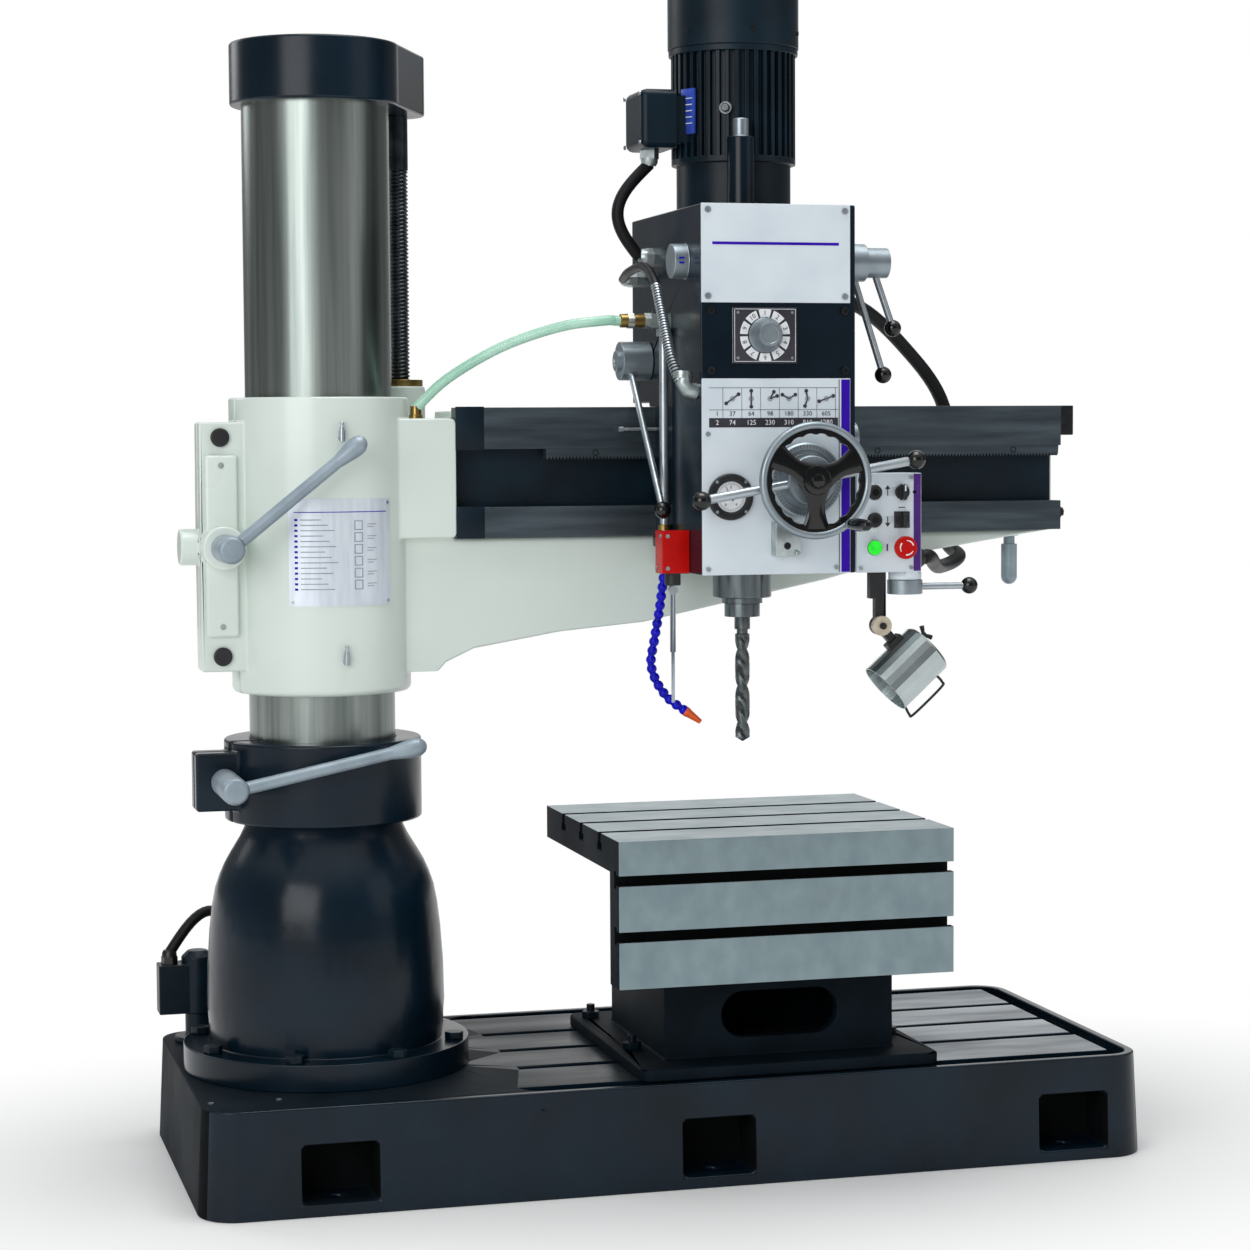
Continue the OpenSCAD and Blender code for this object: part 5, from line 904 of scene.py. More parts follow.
def feedCapstan():
    s = SimpleNamespace(**capstanSizes)
    shape = bmesh.new()
    at = Vector((s.x, 0, s.z))
    thick, deep = s.back - s.front, s.back - s.hubFront
    drum, hub, bar, half = s.drum, s.hub, s.bar, s.half
    turned(shape, [(0, drum - 0.002), (0.002, drum), (thick * 0.42, drum), (thick * 0.45, drum - 0.002),
                   (thick * 0.5, drum - 0.002), (thick * 0.53, drum), (thick - 0.003, drum),
                   (thick, drum - 0.003), (thick, 0.0515), (thick - 0.002, 0.05), (thick - 0.002, 0.046),
                   (thick, 0.0445), (thick, hub), (deep - 0.002, hub), (deep, hub - 0.002), (deep, 0.021)],
           at - toFront * s.back, toFront, 0, 96)
    along = facing(radians(s.slope))
    middle = at - toFront * s.barY
    ball = [(half + s.ball * sin(a), s.ball * cos(a))
            for a in [radians(-62 + i * 152 / 16) for i in range(16)]] + [(half + s.ball, 0)]
    for way in (1, -1):
        turned(shape, [(0.03, bar), (half - 0.016, bar), (half - 0.014, bar * 0.86)], middle, along * way, 1,
               24)
        turned(shape, ball, middle, along * way, 2, 32)
    made(shape, "feedDrum", "polishedAluminium platedSteel blackPhenolic", "feed", "black_metal",
         ["feed_capstan"])
    spots = []
    for k, turn in enumerate(around(s.ticks)):
        reach = s.tickReach[1 if k % 5 else 0]
        spots.append((at + facing(turn) * reach - toFront * s.front, facing(turn)))
    repeated("feedScaleTicks", "tick", spots, "darkInk", "feed", length=0.006, width=0.0007)


feedCapstan()
print("screw, drill, wheel and capstan made")

# lamp: brushed shade on a jointed arm, in the tilted frame of the solid
lampSizes = dict(pivot=(0.928, -0.360, 0.978), slope=-42, drop=-0.0911, open=-0.0663, back=0.0407,
                 radius=0.049, wall=0.003, bands=24, disc=0.017, bail=0.021, wire=0.0024)


def lampHead():
    s = SimpleNamespace(**lampSizes)
    shape = bmesh.new()
    front, back, wide, drop, wall, disc = s.open, s.back, s.radius, s.drop, s.wall, s.disc
    # outside of the shade, then its inside
    profile = [(front, wide), (front + 0.003, wide), (front + 0.0035, wide - 0.0008),
               (back - 0.004, wide - 0.0008), (back, wide - 0.004), (back, 0.012), (back - wall, 0.012),
               (back - wall, wide - 0.009), (front + 0.01, wide - wall), (front, wide - wall + 0.001)]
    bridge(shape, [[shape.verts.new((x, r * cos(t), drop + r * sin(t))) for t in around(s.bands)]
                   for x, r in profile], loop=True)
    # bulb and its holder
    root = (back + 0.001, 0, drop)
    turned(shape, [(0, 0.0125), (0.03, 0.0125), (0.03, 0.011)], root, -toRight, 1, 24)
    turned(shape, [(0.03, 0.011), (0.038, 0.016), (0.048, 0.0215), (0.058, 0.024), (0.068, 0.0225),
                   (0.076, 0.016), (0.0815, 0)], root, -toRight, 2, 32)
    # wire bail along the far side of the shade
    near, far = drop - wide + 0.001, drop - wide - s.bail
    bail = [(front + 0.006, 0, near), (front + 0.002, 0, far + 0.006), (front + 0.008, 0, far),
            (back - 0.03, 0, far), (back - 0.022, 0, far + 0.006), (back - 0.022, 0, near)]
    swept(shape, smoothPath(bail, 5), s.wire, 3, 10)
    # square stem from the joint disc to the shade, clamp band, wing nut
    edge = drop + wide
    block(shape, (-0.008, -0.008, edge - 0.002), (0.008, 0.008, -0.012), 3, 0.001)
    block(shape, (-0.016, -0.013, edge - 0.003), (0.016, 0.013, edge + 0.008), 3, 0.0015)
    turned(shape, [(-0.006, disc), (-0.0045, disc + 0.0005), (0.0045, disc + 0.0005), (0.006, disc)],
           (0, -0.012, 0), toFront, 4, 40)
    turned(shape, [(-0.008, disc * 0.98), (0.008, disc * 0.98)], (0, -0.001, 0), toFront, 3, 40)
    turned(shape, [(0, 0.006), (0.006, 0.006), (0.009, 0.004)], (0, -0.017, 0), toFront, 3, 16)
    turned(shape, [(0, 0.0045), (0.012, 0.0045), (0.014, 0.0035)], (back - 0.001, 0, drop + 0.022), toRight,
           3, 14)
    wing = Vector((back + 0.008, 0, drop + 0.022))
    for way in (-1, 1):
        swept(shape, [wing, wing + Vector((0.005, 0, way * 0.008)), wing + Vector((0.008, 0, way * 0.014))],
              lambda t: 0.003 + 0.0015 * t, 3, 10)
    shape.transform(Matrix.Translation(s.pivot) @ Matrix.Rotation(radians(s.slope), 4, "Y"))
    made(shape, "lampShade", "brushedShade castZinc frostedGlass blackMoulded beigeMoulded", "lamp",
         "black_plastic", ["lamp_head"], 12)


lampHead()

# jointed coolant hose: ball segments and a nozzle
segments = dict(pitch=0.0165, ball=0.0091, neck=0.0056, length=0.0172, nozzle=0.038, points=[
    (0.582, -0.202, 1.0765), (0.5729, -0.202, 1.0097), (0.5625, -0.202, 0.9513), (0.556, -0.202, 0.9095),
    (0.5664, -0.202, 0.8755), (0.588, -0.202, 0.8457), (0.616, -0.202, 0.8245)])


def segmentHose():
    s = SimpleNamespace(**segments)
    path = smoothPath(s.points, 16)
    total = pathLength(path)
    count = round(total / s.pitch)
    spots, walked, target = [], 0.0, 0.0
    for a, b in zip(path, path[1:]):
        run = (b - a).length
        while walked + run > target - 1e-6 and len(spots) <= count:
            spots.append((a.lerp(b, (target - walked) / run), a - b))
            target += total / count
        walked += run
    repeated("hoseSegments", "bead", spots, "blueMoulded", "head", "blue_segments", ["segment_hose"],
             ball=s.ball, neck=s.neck, length=s.length)
    lathe("hoseNozzle", "orangeMoulded", "head", "blue_segments",
          ([(-0.004, 0.007), (0.002, 0.0088), (0.009, 0.0088), (0.011, 0.0078), (s.nozzle, 0.0043),
            (s.nozzle, 0.003), (s.nozzle - 0.01, 0.003)], path[-1], path[-1] - path[-3], 0, 24))
    lathe("hoseCollar", "blueMoulded", "head", "blue_segments",
          ([(-0.006, 0.0085), (-0.004, 0.0094), (0.007, 0.0094), (0.0085, 0.0085)], s.points[0], toTop, 0,
           12))


segmentHose()
print("lamp and jointed hose made")


# printing: thin ink patches on the plates
def patch(shape, left, low, right, top, y, ink=0, thick=0.0004):
    block(shape, (left, y - thick, low), (right, y + thick, top), ink)


panelSizes = dict(front=-0.4, left=0.594, right=0.8609, low=1.073, mid=1.409, dialTop=1.538, top=1.706,
                  band=-0.394, lineLeft=0.613, lineRight=0.84, lineZ=1.6385, lineHalf=0.0024, stripe=0.0168)
chart = dict(left=0.606, right=0.838, top=1.393, split=1.3555, dark=1.3415, low=1.3255, label=0.6205,
             first=0.6475, step=0.0338, leans=((35, 215), (90, 270), (60, 20), (30, 150), (100, 250),
                                               (20, 200)), figures=0.0112, boldFigures=0.0118,
             upper=("37", "64", "98", "180", "330", "605"), lower=("74", "125", "230", "310", "810", "1280"))


def panelPrints():
    p, c = SimpleNamespace(**panelSizes), SimpleNamespace(**chart)
    y = p.front
    shape = bmesh.new()
    columns = [c.first + k * c.step for k in range(len(c.leans))]
    stripe, low, top = p.right - p.stripe, p.low + 0.002, p.mid - 0.002
    patch(shape, p.lineLeft, p.lineZ - p.lineHalf, p.lineRight, p.lineZ + p.lineHalf, y)
    patch(shape, stripe, low, p.right - 0.0012, top, y)
    patch(shape, stripe - 0.0046, low, stripe - 0.0032, top, y, 1)
    for z in (c.top, c.split):
        patch(shape, c.left, z - 0.0004, c.right, z + 0.0004, y, 1)
    patch(shape, c.left, c.low, c.right, c.dark, y, 1)
    for x in columns + [columns[-1] + c.step]:
        x -= c.step / 2
        patch(shape, x - 0.0003, c.dark, x + 0.0003, c.top, y, 1)
    for x, leans in zip(columns, c.leans):
        middle = Vector((x, y - 0.0002, (c.top + c.split) / 2))
        for out in [facing(radians(v)) for v in leans]:
            swept(shape, [middle, middle + out * 0.0125], 0.0015, 1, 6)
            turned(shape, [(0, 0.0033), (0.0006, 0.0033)], middle + out * 0.0135, toFront, 1, 16)
        turned(shape, [(0, 0.0046), (0.0008, 0.0046)], middle, toFront, 2, 20)
    made(shape, "panelPrints", "violetInk darkInk greyInk", "head", "panel_plate")
    shape = bmesh.new()
    for x, upper, lower in [*zip(columns, c.upper, c.lower), (c.label, "1", "2")]:
        lettering(shape, upper, c.figures, (x, y - 0.0006, (c.split + c.dark) / 2))
        lettering(shape, lower, c.boldFigures, (x, y - 0.0007, (c.dark + c.low) / 2), ink=1)
    made(shape, "chartFigures", "darkInk paleInk", "head", "panel_plate", closed=False)


panelPrints()

# feed dial: dark plate with a pale border, a ring of cells, and a conical knob
dialSizes = dict(x=0.70715, z=1.48253, plate=-0.397, left=0.6496, right=0.765, low=1.4348, top=1.5303,
                 ringIn=0.031, ringOut=0.0448, cells=10, gap=3, figures=0.0118, border=0.0032, rivet=0.009,
                 knob=0.03, knobBack=-0.4005, knobFront=-0.43)


def feedDial():
    s = SimpleNamespace(**dialSizes)
    y = s.plate - 0.0006
    left, right, low, top = s.left, s.right, s.low, s.top
    shape = bmesh.new()
    block(shape, (left, s.plate - 0.0008, low), (right, s.plate + 0.0005, top), 0, 0.0003)
    inset = s.border
    for x, z in ((left + inset, low + inset), (right - inset, top - inset)):
        patch(shape, x - 0.0004, low + inset, x + 0.0004, top - inset, y - 0.0003, 1)
        patch(shape, left + inset, z - 0.0004, right - inset, z + 0.0004, y - 0.0003, 1)
    centre = Vector((s.x, y, s.z))
    cell, gap = 2 * pi / s.cells, radians(s.gap)
    for start in around(s.cells):
        turns = [start + gap + (cell - 2 * gap) * i / 6 for i in range(7)]
        rim = [facing(a) * s.ringIn for a in turns] + [facing(a) * s.ringOut for a in turns[::-1]]
        bridge(shape, [[shape.verts.new(centre + p + toFront * deep) for p in rim]
                       for deep in (0.0006, -0.0002)], 1)
    made(shape, "dialPlate", "darkInk paleInk", "head", "panel_plate")
    shape = bmesh.new()
    for k, turn in enumerate(around(s.cells)):
        out = facing(pi / 2 - turn)
        lettering(shape, str(k + 1), s.figures, centre + toFront * 0.0009 + out * (s.ringIn + s.ringOut) / 2,
                  Vector((out.z, 0, -out.x)), out)
    made(shape, "dialFigures", "darkInk", "head", "panel_plate", closed=False)
    shape = bmesh.new()
    r, deep = s.knob, s.knobBack - s.knobFront
    turned(shape, [(0, r * 0.96), (0.001, r), (0.0035, r), (0.005, r * 0.95), (deep * 0.62, r * 0.78),
                   (deep * 0.86, r * 0.7), (deep * 0.94, r * 0.66), (deep * 0.95, r * 0.5),
                   (deep * 0.92, r * 0.47), (deep * 0.92, 0)], (s.x, s.knobBack, s.z), toFront, 0, 64)
    block(shape, (s.x - 0.0012, s.knobBack - 0.0046, s.z + r * 0.88),
          (s.x + 0.0012, s.knobBack - 0.001, s.z + r * 1.01), 1)
    made(shape, "dialKnobCone", "polishedAluminium darkInk", "dial", "bright_steel", ["dial_knob"])
    inset = s.rivet
    screws("dialRivets", [((x, s.plate - 0.0008, z), toFront) for x in (left + inset, right - inset)
                          for z in (low + inset, top - inset)], 0.0026, 0.0014, 0.3, 12)


feedDial()

# depth gauge: black bezel, white face with marks and figures
gaugeSizes = dict(x=0.643, z=1.207, radius=0.04, back=-0.4, front=-0.4085, face=0.0262, marks=50, needle=118,
                  figureRing=0.0162, figures=0.0075, screwRing=0.0362)


def depthGauge():
    s = SimpleNamespace(**gaugeSizes)
    at = Vector((s.x, s.back, s.z))
    deep, wide, face = s.back - s.front, s.radius, s.face
    dial = at + toFront * deep * 0.62
    shape = bmesh.new()
    turned(shape, [(-0.002, wide), (deep * 0.7, wide), (deep, wide - 0.002), (deep, face + 0.0035),
                   (deep * 0.72, face), (deep * 0.62, face), (deep * 0.62, 0)], at, toFront,
           [0, 0, 0, 0, 0, 1], 64)
    turned(shape, [(deep * 0.6, 0.0045), (deep * 0.85, 0.0045), (deep * 0.9, 0.0035), (deep * 0.9, 0)], at,
           toFront, 0, 24)
    needle, pin = facing(radians(s.needle)), at + toFront * deep * 0.74
    swept(shape, [pin - needle * 0.008, pin + needle * 0.0205], lambda t: 0.0012 - 0.0008 * t, 0, 6)
    made(shape, "gaugeBezel", "blackMoulded paleInk", "head", "black_metal", ["depth_gauge"])
    spots = [(dial + facing(t) * (face - 0.0035), facing(t)) for t in around(s.marks)]
    repeated("gaugeMarks", "tick", spots, "darkInk", "head", length=0.0045, width=0.0005)
    shape = bmesh.new()
    for k, turn in enumerate(around(5)):
        out = facing(pi / 2 - turn)
        lettering(shape, str(k * 2), s.figures, dial + out * s.figureRing + toFront * 0.0003)
    made(shape, "gaugeFigures", "darkInk", "head", "black_metal", closed=False)
    spots = [(at + facing(t + pi / 4) * s.screwRing + toFront * (deep - 0.0002), toFront) for t in around(4)]
    screws("gaugeScrews", spots, 0.0027, 0.0016, 0.4, 12)


depthGauge()

# control box: marks by the buttons, pointer, stop arrows
boxSizes = dict(front=-0.4, columns=(0.903, 0.955), rows=(1.116, 1.164, 1.212), bezel=0.0145,
                stripe=(0.977, 1.0745, 0.9902, 1.2435), screwsX=(0.8795, 0.9725), screwsZ=(1.0805, 1.2375))


def controlPrints():
    s = SimpleNamespace(**boxSizes)
    y = s.front
    shape = bmesh.new()
    (left, right), (low, mid, top) = s.columns, s.rows
    x = left + 0.026
    for z, way in ((top, 1), (mid, -1)):
        patch(shape, x - 0.0008, z - 0.006, x + 0.0008, z + 0.006, y)
        for step in range(4):
            half = 0.0042 * (1 - step / 4)
            tip = z + way * (0.006 + step * 0.0016)
            patch(shape, x - half, tip - 0.0008, x + half, tip + 0.0008, y)
    patch(shape, left + 0.024, low - 0.006, left + 0.0265, low + 0.006, y)
    patch(shape, right + 0.0205, top - 0.002, right + 0.0265, top + 0.002, y)
    patch(shape, right - 0.006, mid + 0.0205, right + 0.006, mid + 0.0222, y)
    patch(shape, *s.stripe, y, 1)
    half = s.bezel
    block(shape, (right - half, y - 0.0022, mid - half), (right + half, y + 0.0005, mid + half), 0, 0.0012)
    made(shape, "controlMarks", "darkInk violetCoat", "head", "panel_plate")
    screws("controlScrews", [((x, y, z), toFront) for x in s.screwsX for z in s.screwsZ], 0.0036, 0.002,
           0.5, 12)
    # pale bars on the selector and on the stop button
    shape = bmesh.new()
    patch(shape, right - 0.0012, top + 0.002, right + 0.0012, top + 0.0125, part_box("selector_knob")[0].y)
    made(shape, "selectorPointer", "paleInk", "selector", "black_plastic")
    shape = bmesh.new()
    near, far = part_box("stop_button")
    centre = Vector((right, near.y + 0.0002, low))
    reach = (far.x - near.x) / 2 * 0.62
    for start in (20, 140, 260):
        arc = [centre + reach * facing(radians(start + i * 9)) for i in range(9)]
        swept(shape, arc, lambda t: 0.0016 * (1 - 0.5 * t), 0, 6)
    made(shape, "stopArrows", "paleInk", "stop", "red_switch")
    for node, body in (("button_up", "up"), ("button_down", "down")):
        near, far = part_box(node)
        lathe(body + "Inlay", "blackPhenolic", body, "black_plastic",
              ([(-0.0004, 0.0062), (0.0004, 0.0062)], (left, near.y, (near.z + far.z) / 2), toFront, 0, 24))


controlPrints()
print("prints made")

# data plate on the sleeve, curved with it, with ruled lines in place of any wording
plateSizes = dict(radius=0.1597, thick=0.0011, start=-29.0, end=40.0, low=1.02, top=1.206, steps=24, lines=14,
                  squares=6)


def sleeveSide(degrees):
    turn = radians(degrees)
    return Vector((sin(turn), -cos(turn), 0))


def curved(shape, r0, r1, start, end, low, top, steps, ink=0):
    corners = ((r0, low), (r1, low), (r1, top), (r0, top))
    sides = [sleeveSide(start + (end - start) * i / steps) for i in range(steps + 1)]
    bridge(shape, [[shape.verts.new(out * r + toTop * z) for r, z in corners] for out in sides], ink)


def dataPlate():
    s = SimpleNamespace(**plateSizes)
    r = s.radius + s.thick
    shape = bmesh.new()
    curved(shape, s.radius - 0.0006, r, s.start, s.end, s.low, s.top, s.steps)
    wide, tall = s.end - s.start, s.top - s.low

    def mark(first, last, low, top, steps, ink, raised=0.0002):
        # first and last are shares of the plate's width
        curved(shape, r - 0.0004, r + raised, s.start + wide * first, s.start + wide * last, low, top, steps,
               ink)

    for k in range(s.lines):
        z = s.top - 0.036 - k * (tall - 0.056) / s.lines
        mark(0.055, 0.085, z - 0.002, z + 0.002, 2, 1)
        mark(0.11, 0.30 + 0.16 * ((k * 37) % 11) / 11, z - 0.0009, z + 0.0009, 8, 2)
    for k in range(s.squares):
        z = s.top - 0.046 - k * (tall - 0.062) / s.squares
        mark(0.6, 0.685, z - 0.0085, z + 0.0085, 4, 2)
        mark(0.612, 0.673, z - 0.0066, z + 0.0066, 4, 0, 0.0003)
        mark(0.73, 0.83, z + 0.001, z + 0.0024, 6, 2)
        mark(0.73, 0.8, z - 0.0035, z - 0.0021, 6, 2)
    mark(0.05, 0.95, s.top - 0.0235, s.top - 0.022, 24, 1)
    made(shape, "dataPlate", "anodisedPlate violetInk greyInk", "arm", "arm_paint")
    spots = [(out * r + toTop * z, out) for out in (sleeveSide(s.start + 2.4), sleeveSide(s.end - 2.4))
             for z in (s.low + 0.007, s.top - 0.007)]
    screws("dataPlateRivets", spots, 0.0026, 0.0015, 0.3, 12, body="arm")


dataPlate()

# small parts on arm and base: oil nipples, rib of the clamp lug, paint and screws of the ways, plugs
armDetails = dict(nipples=((0.0135, 1.32), (0.0175, 0.931)), sleeve=0.1595, ear=-0.072, ribLeft=-0.2145,
                  ribRight=-0.1575, ribLow=0.965, ribTop=1.283, ribThick=0.012, ways=-0.101,
                  paintStart=0.2275, paintEnd=0.279, painted=((1.2885, 1.3655), (1.1315, 1.1885)),
                  first=0.483, step=0.268, count=4, endBolt=1.165,
                  plugs=((-0.2437, -0.2782), (-0.1284, -0.2811)), baseTop=0.186)


def armParts():
    s = SimpleNamespace(**armDetails)
    shape = bmesh.new()
    for x, z in s.nipples:
        y = -sqrt(s.sleeve ** 2 - x ** 2)
        turned(shape, [(-0.002, 0.0062), (0.007, 0.0062), (0.009, 0.005)], (x, y, z - 0.008), toFront, 0, 12)
        turned(shape, [(-0.014, 0.0058), (0.004, 0.0058), (0.004, 0.0044), (0.011, 0.0042), (0.012, 0.003),
                       (0.015, 0.003), (0.018, 0.0038), (0.02, 0.0026), (0.0202, 0)], (x, y - 0.0085, z),
               toTop, 0, 12)
    made(shape, "oilNipples", "platedSteel", "arm", "bright_steel")
    shape = bmesh.new()
    ribFront = s.ear - s.ribThick
    block(shape, (s.ribLeft, ribFront, s.ribLow), (s.ribRight, s.ear + 0.002, s.ribTop), 0, 0.006, 4)
    made(shape, "lugRib", "paleGloss", "arm", "arm_paint")
    spots = [(((s.ribRight + s.ribLeft) / 2, ribFront, z), toFront)
             for z in (s.ribLow + 0.018, s.ribTop - 0.018)]
    screws("ribScrews", spots, 0.0052, 0.0012, 0.6, 16, "castZinc", "arm")
    # the left ends of the ways are painted dark, beyond the reach of the head
    shape = bmesh.new()
    for low, top in s.painted:
        block(shape, (s.paintStart, s.ways - 0.0008, low), (s.paintEnd, s.ways + 0.001, top), 0, 0.0004)
    made(shape, "wayPaint", "anthraciteSatin", "arm", "machined_iron")
    near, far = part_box("traverse_rack")
    spots = [((s.first + k * s.step, near.y + 0.0002, far.z - 0.0075), toFront) for k in range(s.count)]
    screws("rackScrews", spots, 0.006, 0.0003, 0.62, 20, "blackOxide", "arm")
    end = (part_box("arm_ways")[1].x, s.ways + 0.014, s.endBolt)
    lathe("wayEndBolt", "blackOxide", "arm", "black_metal",
          ([(-0.001, 0.0125), (0.003, 0.0125)], end, toRight, 0, 28),
          ([(0.003, 0.0085), (0.009, 0.0085), (0.0098, 0.0075)], end, toRight, 0, 6))
    screws("basePlugs", [((x, y, s.baseTop), toTop) for x, y in s.plugs], 0.005, 0.002, 0.5, body="base")


armParts()

# small parts on the head: screws, bracket, bosses, motor plate and eye
headDetails = dict(switchX=0.5535, switchSide=0.544, switchZ=(1.1385, 1.0825), switchDeep=(0.009, 0.037),
                   lowerTop=1.3145, drumLeft=0.7165, drumRight=0.7615, drumLow=1.1045, drumTop=1.1625,
                   drumFront=-0.426, boss=(0.872, -0.352, 1.308), pin=(0.528, -0.1085, 1.324), pinEnd=0.595,
                   clampHub=(0.538, -0.062, 1.447), pipeY=-0.202, pipeZ=1.514, speedY=-0.3, speedZ=1.613)
motorDetails = dict(axis=(0.747, -0.08916, 0), plateTurn=207, plateReach=0.1125, plateZ=1.888, eyeTurn=246,
                    eyeReach=0.108, eyeZ=1.89, boxSide=0.559, boxY=(-0.14, -0.038), boxZ=(1.8315, 1.918),
                    cowlReach=0.1172, cowlZ=2.03)


def headParts():
    p, s = SimpleNamespace(**panelSizes), SimpleNamespace(**headDetails)

    def plateScrews(name, y, xs, zs, *sizes):
        screws(name, [((x, y, z), toFront) for x in xs for z in zs], *sizes)

    plateScrews("upperPanelScrews", p.front, (p.left + 0.0105, p.right - 0.0105),
                (p.dialTop + 0.011, p.top - 0.011), 0.0055, 0.0032, 0.45)
    plateScrews("lowerPanelScrews", p.front, (p.left + 0.0095, p.right - 0.026),
                (p.low + 0.0105, s.lowerTop), 0.0042, 0.0026, 0.45)
    plateScrews("bandScrews", p.band, (p.left + 0.0165, p.right - 0.009),
                (p.mid + 0.0135, p.dialTop - 0.0135), 0.0068, 0.0055, 0.55, 20, "blackOxide")
    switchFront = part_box("safety_switch")[0].y
    plateScrews("switchScrews", switchFront, (s.switchX,), s.switchZ, 0.0036, 0.0022, 0.5, 12)
    spots = [((s.switchSide, switchFront + y, z), -toRight) for y, z in zip(s.switchDeep, s.switchZ)]
    screws("switchSideScrews", spots, 0.0036, 0.0022, 0.5, 12)
    shape = bmesh.new()
    front = s.drumFront
    block(shape, (s.drumLeft, front, s.drumLow), (s.drumRight, p.front + 0.001, s.drumTop), 0, 0.002)
    turned(shape, [(0, 0.0062), (0.0004, 0.0062)], (0.7375, front, 1.1225), toFront, 1, 24)
    turned(shape, [(0, 0.0042), (0.004, 0.0042), (0.005, 0.003)], (0.7555, front, 1.11), toFront, 2, 16)
    made(shape, "drumBracket", "castZinc blackOxide platedSteel", "head", "satin_silver")
    shape = bmesh.new()
    turned(shape, [(-0.001, 0.026), (0.012, 0.026), (0.0145, 0.0235), (0.0145, 0.012), (0.0125, 0.011),
                   (0.0125, 0)], s.boss, toRight, 0, 40)
    pin = Vector(s.pin)
    swept(shape, [pin, (s.pinEnd, pin.y, pin.z)], 0.0032, 1, 12)
    turned(shape, [(-0.006, 0.0052), (0.002, 0.0052)], pin + toRight * 0.002, toRight, 1, 12)
    made(shape, "sideBoss", "polishedAluminium platedSteel", "head", "satin_silver")
    # stepped face of the head clamp hub, nuts and band of the coolant fitting
    lathe("clampHubFace", "polishedAluminium", "head_lever", "satin_silver",
          ([(-0.001, 0.0195), (0.006, 0.0195), (0.0075, 0.018), (0.0075, 0.0105), (0.0055, 0.0095),
            (0.0055, 0)], s.clampHub, -toRight, 0, 40))
    lathe("fittingNuts", "castZinc platedSteel", "head", "bronze",
          ([(0, 0.0142), (0.012, 0.0142)], (0.5465, s.pipeY, s.pipeZ), toRight, 0, 6),
          ([(0, 0.0138), (0.011, 0.0138)], (0.516, s.pipeY, s.pipeZ), toRight, 0, 6),
          ([(0, 0.0128), (0.013, 0.0128)], (0.582, s.pipeY, 1.487), toTop, 1, 20))
    # blue index marks by the speed levers
    spots = []
    for x, reach, turns in ((0.8775, 0.0335, (150, 165, 180, 195, 210)), (0.579, 0.0302, (172, 188))):
        for a in [radians(v) for v in turns]:
            spots.append(((x, s.speedY + reach * cos(a), s.speedZ + reach * sin(a)), toRight))
    repeated("indexMarks", "tick", spots, "blueMoulded", "head", length=0.009, width=0.003)


def motorParts():
    # rating plate without wording, lifting eye, cover screws
    s = SimpleNamespace(**motorDetails)
    axis = Vector(s.axis)

    def outward(degrees):
        turn = radians(degrees)
        return Vector((cos(turn), sin(turn), 0))

    shape = bmesh.new()
    out = outward(s.plateTurn)
    place = Matrix((outward(s.plateTurn + 90), toTop, out)).transposed().to_4x4()
    place.translation = axis + out * s.plateReach + toTop * s.plateZ
    block(shape, (-0.017, -0.04, -0.004), (0.017, 0.04, 0.0012), 0, 0.0006)
    for row in range(5):
        block(shape, (-0.012, 0.022 - row * 0.011, 0.001), (0.012, 0.0235 - row * 0.011, 0.0015), 1)
    shape.transform(place)
    made(shape, "motorPlate", "bluePlate paleInk", "head", "cowl_paint")
    out = outward(s.eyeTurn)
    lathe("motorLug", "drillSteel", "head", "bright_steel",
          ([(0, 0.011), (0.008, 0.011), (0.008, 0.0075), (0.016, 0.0075), (0.018, 0.006)],
           axis + out * s.eyeReach + toTop * s.eyeZ, out, 0, 20))
    spots = [((s.boxSide, y, z), -toRight) for y in s.boxY for z in s.boxZ]
    screws("terminalScrews", spots, 0.0042, 0.0028, 0.45)
    spots = [(axis + out * s.cowlReach + toTop * s.cowlZ, out)
             for out in (outward(30 + 60 * k) for k in range(6))]
    screws("cowlScrews", spots, 0.0045, 0.003, 0.45, 16, "blackOxide")


headParts()
motorParts()
print("small parts made")

# stage: pale floor, soft lights, white surround
stageSizes = dict(floor=30.0, centre=(0.6, 0.0, 0.0), fade=(0.45, 1.25), flatten=(0.62, 1, 0), soft=0.42,
                  ahead=(0.243, 0.906, 0.342), sweep=(0.86, 0.96), ceiling=(0.4, 0.85), room=(0.15, 1.0))
# name, place, aim, width, height and power
lights = (("key", (-3.3, -4.9, 2.6), (0.3, 0, 1.1), 3.8, 3.2, 150),
          ("fill", (5.0, -3.4, 2.6), (0.6, 0, 1.0), 3.0, 3.0, 16),
          ("top", (0.7, -0.5, 5.0), (0.7, 0, 0.6), 2.6, 2.6, 110),
          ("edge", (-2.6, 3.6, 3.2), (0.4, 0, 1.2), 1.6, 2.0, 30))


def vectorMath(tree, operation, *values):
    return add(tree, "ShaderNodeVectorMath", dict(enumerate(values)), operation=operation)


def mixedShader(tree, share, first, second):
    return add(tree, "ShaderNodeMixShader", {0: share, 1: first, 2: second}).outputs[0]


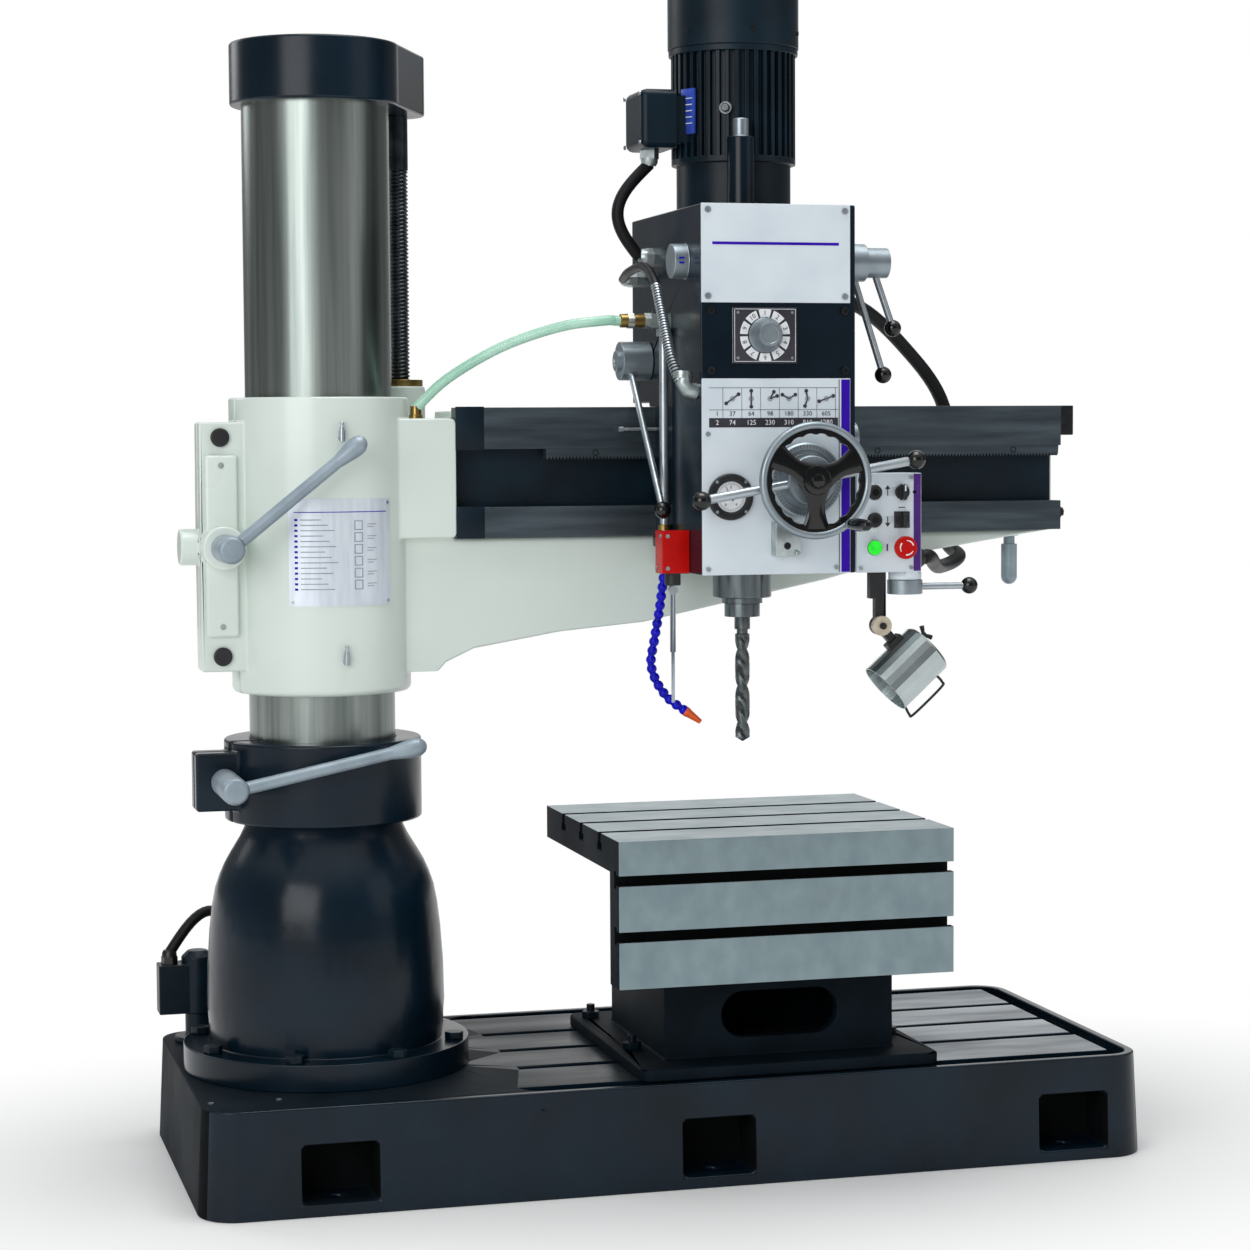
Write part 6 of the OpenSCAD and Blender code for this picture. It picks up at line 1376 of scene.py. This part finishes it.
def makeFloor():
    s = SimpleNamespace(**stageSizes)
    shape = bmesh.new()
    bmesh.ops.create_grid(shape, x_segments=1, y_segments=1, size=s.floor / 2)
    mesh = bpy.data.meshes.new("studioFloor")
    shape.to_mesh(mesh)
    shape.free()
    mesh.transform(Matrix.Translation(s.centre))
    floor = bpy.data.objects.new("studioFloor", mesh)
    bpy.context.scene.collection.objects.link(floor)
    pale = finish("paleFloor", "#f1f1f0 #f7f7f6", 1200, (0.55, 0.7), 20, 0.1, 0.05)
    # away from the machine the floor fades into the white surround, as on a studio sweep
    tree = pale.node_tree
    place = add(tree, "ShaderNodeTexCoord").outputs["Object"]
    near = vectorMath(tree, "SUBTRACT", place, s.centre).outputs[0]
    reach = vectorMath(tree, "LENGTH",
                       vectorMath(tree, "MULTIPLY", near, s.flatten).outputs[0]).outputs["Value"]
    fade = ranged(tree, reach, *s.fade, interpolation_type="SMOOTHSTEP")
    white = add(tree, "ShaderNodeEmission", {"Color": (1, 1, 1, 1), "Strength": 1.0}).outputs[0]
    mixed = mixedShader(tree, fade, tree.nodes["Principled BSDF"].outputs[0], white)
    tree.links.new(mixed, tree.nodes["Material Output"].inputs[0])
    mesh.materials.append(pale)


def makeLights():
    s = SimpleNamespace(**stageSizes)
    for name, at, aim, wide, tall, power in lights:
        data = bpy.data.lights.new(name + "Light", "AREA")
        data.energy = power
        data.shape = "RECTANGLE"
        data.size, data.size_y = wide, tall
        light = bpy.data.objects.new(name + "Light", data)
        light.location = at
        light.rotation_euler = (Vector(aim) - Vector(at)).to_track_quat("-Z", "Y").to_euler()
        bpy.context.scene.collection.objects.link(light)
    world = bpy.data.worlds.new("whiteSurround")
    world.use_nodes = True
    tree = world.node_tree
    tree.nodes.clear()

    def backdrop(colour, strength):
        return add(tree, "ShaderNodeBackground", {"Color": colour, "Strength": strength}).outputs[0]

    def larger(first, second):
        return add(tree, "ShaderNodeMath", {0: first, 1: second}, operation="MAXIMUM").outputs[0]

    # mirrors and glass see the white sweep behind the machine, the bright ceiling, and a dim room beside them
    path = add(tree, "ShaderNodeLightPath").outputs
    way = add(tree, "ShaderNodeTexCoord").outputs["Generated"]
    ahead = vectorMath(tree, "DOT_PRODUCT", way, s.ahead).outputs["Value"]
    height = add(tree, "ShaderNodeSeparateXYZ", {0: way}).outputs["Z"]
    bright = larger(ranged(tree, ahead, *s.sweep, interpolation_type="SMOOTHSTEP"),
                    ranged(tree, height, *s.ceiling, interpolation_type="SMOOTHSTEP"))
    room = backdrop((1, 1, 1, 1), ranged(tree, bright, 0.0, 1.0, *s.room))
    seen = larger(path["Is Glossy Ray"], path["Is Transmission Ray"])
    shown = mixedShader(tree, seen, backdrop(srgb("#e9eef2"), s.soft), room)
    mixed = mixedShader(tree, path["Is Camera Ray"], shown, backdrop((1, 1, 1, 1), 1.0))
    add(tree, "ShaderNodeOutputWorld", {"Surface": mixed})
    bpy.context.scene.world = world
    bpy.context.scene.view_settings.view_transform = "Standard"


makeFloor()
makeLights()
bpy.context.view_layer.update()
print("stage made")
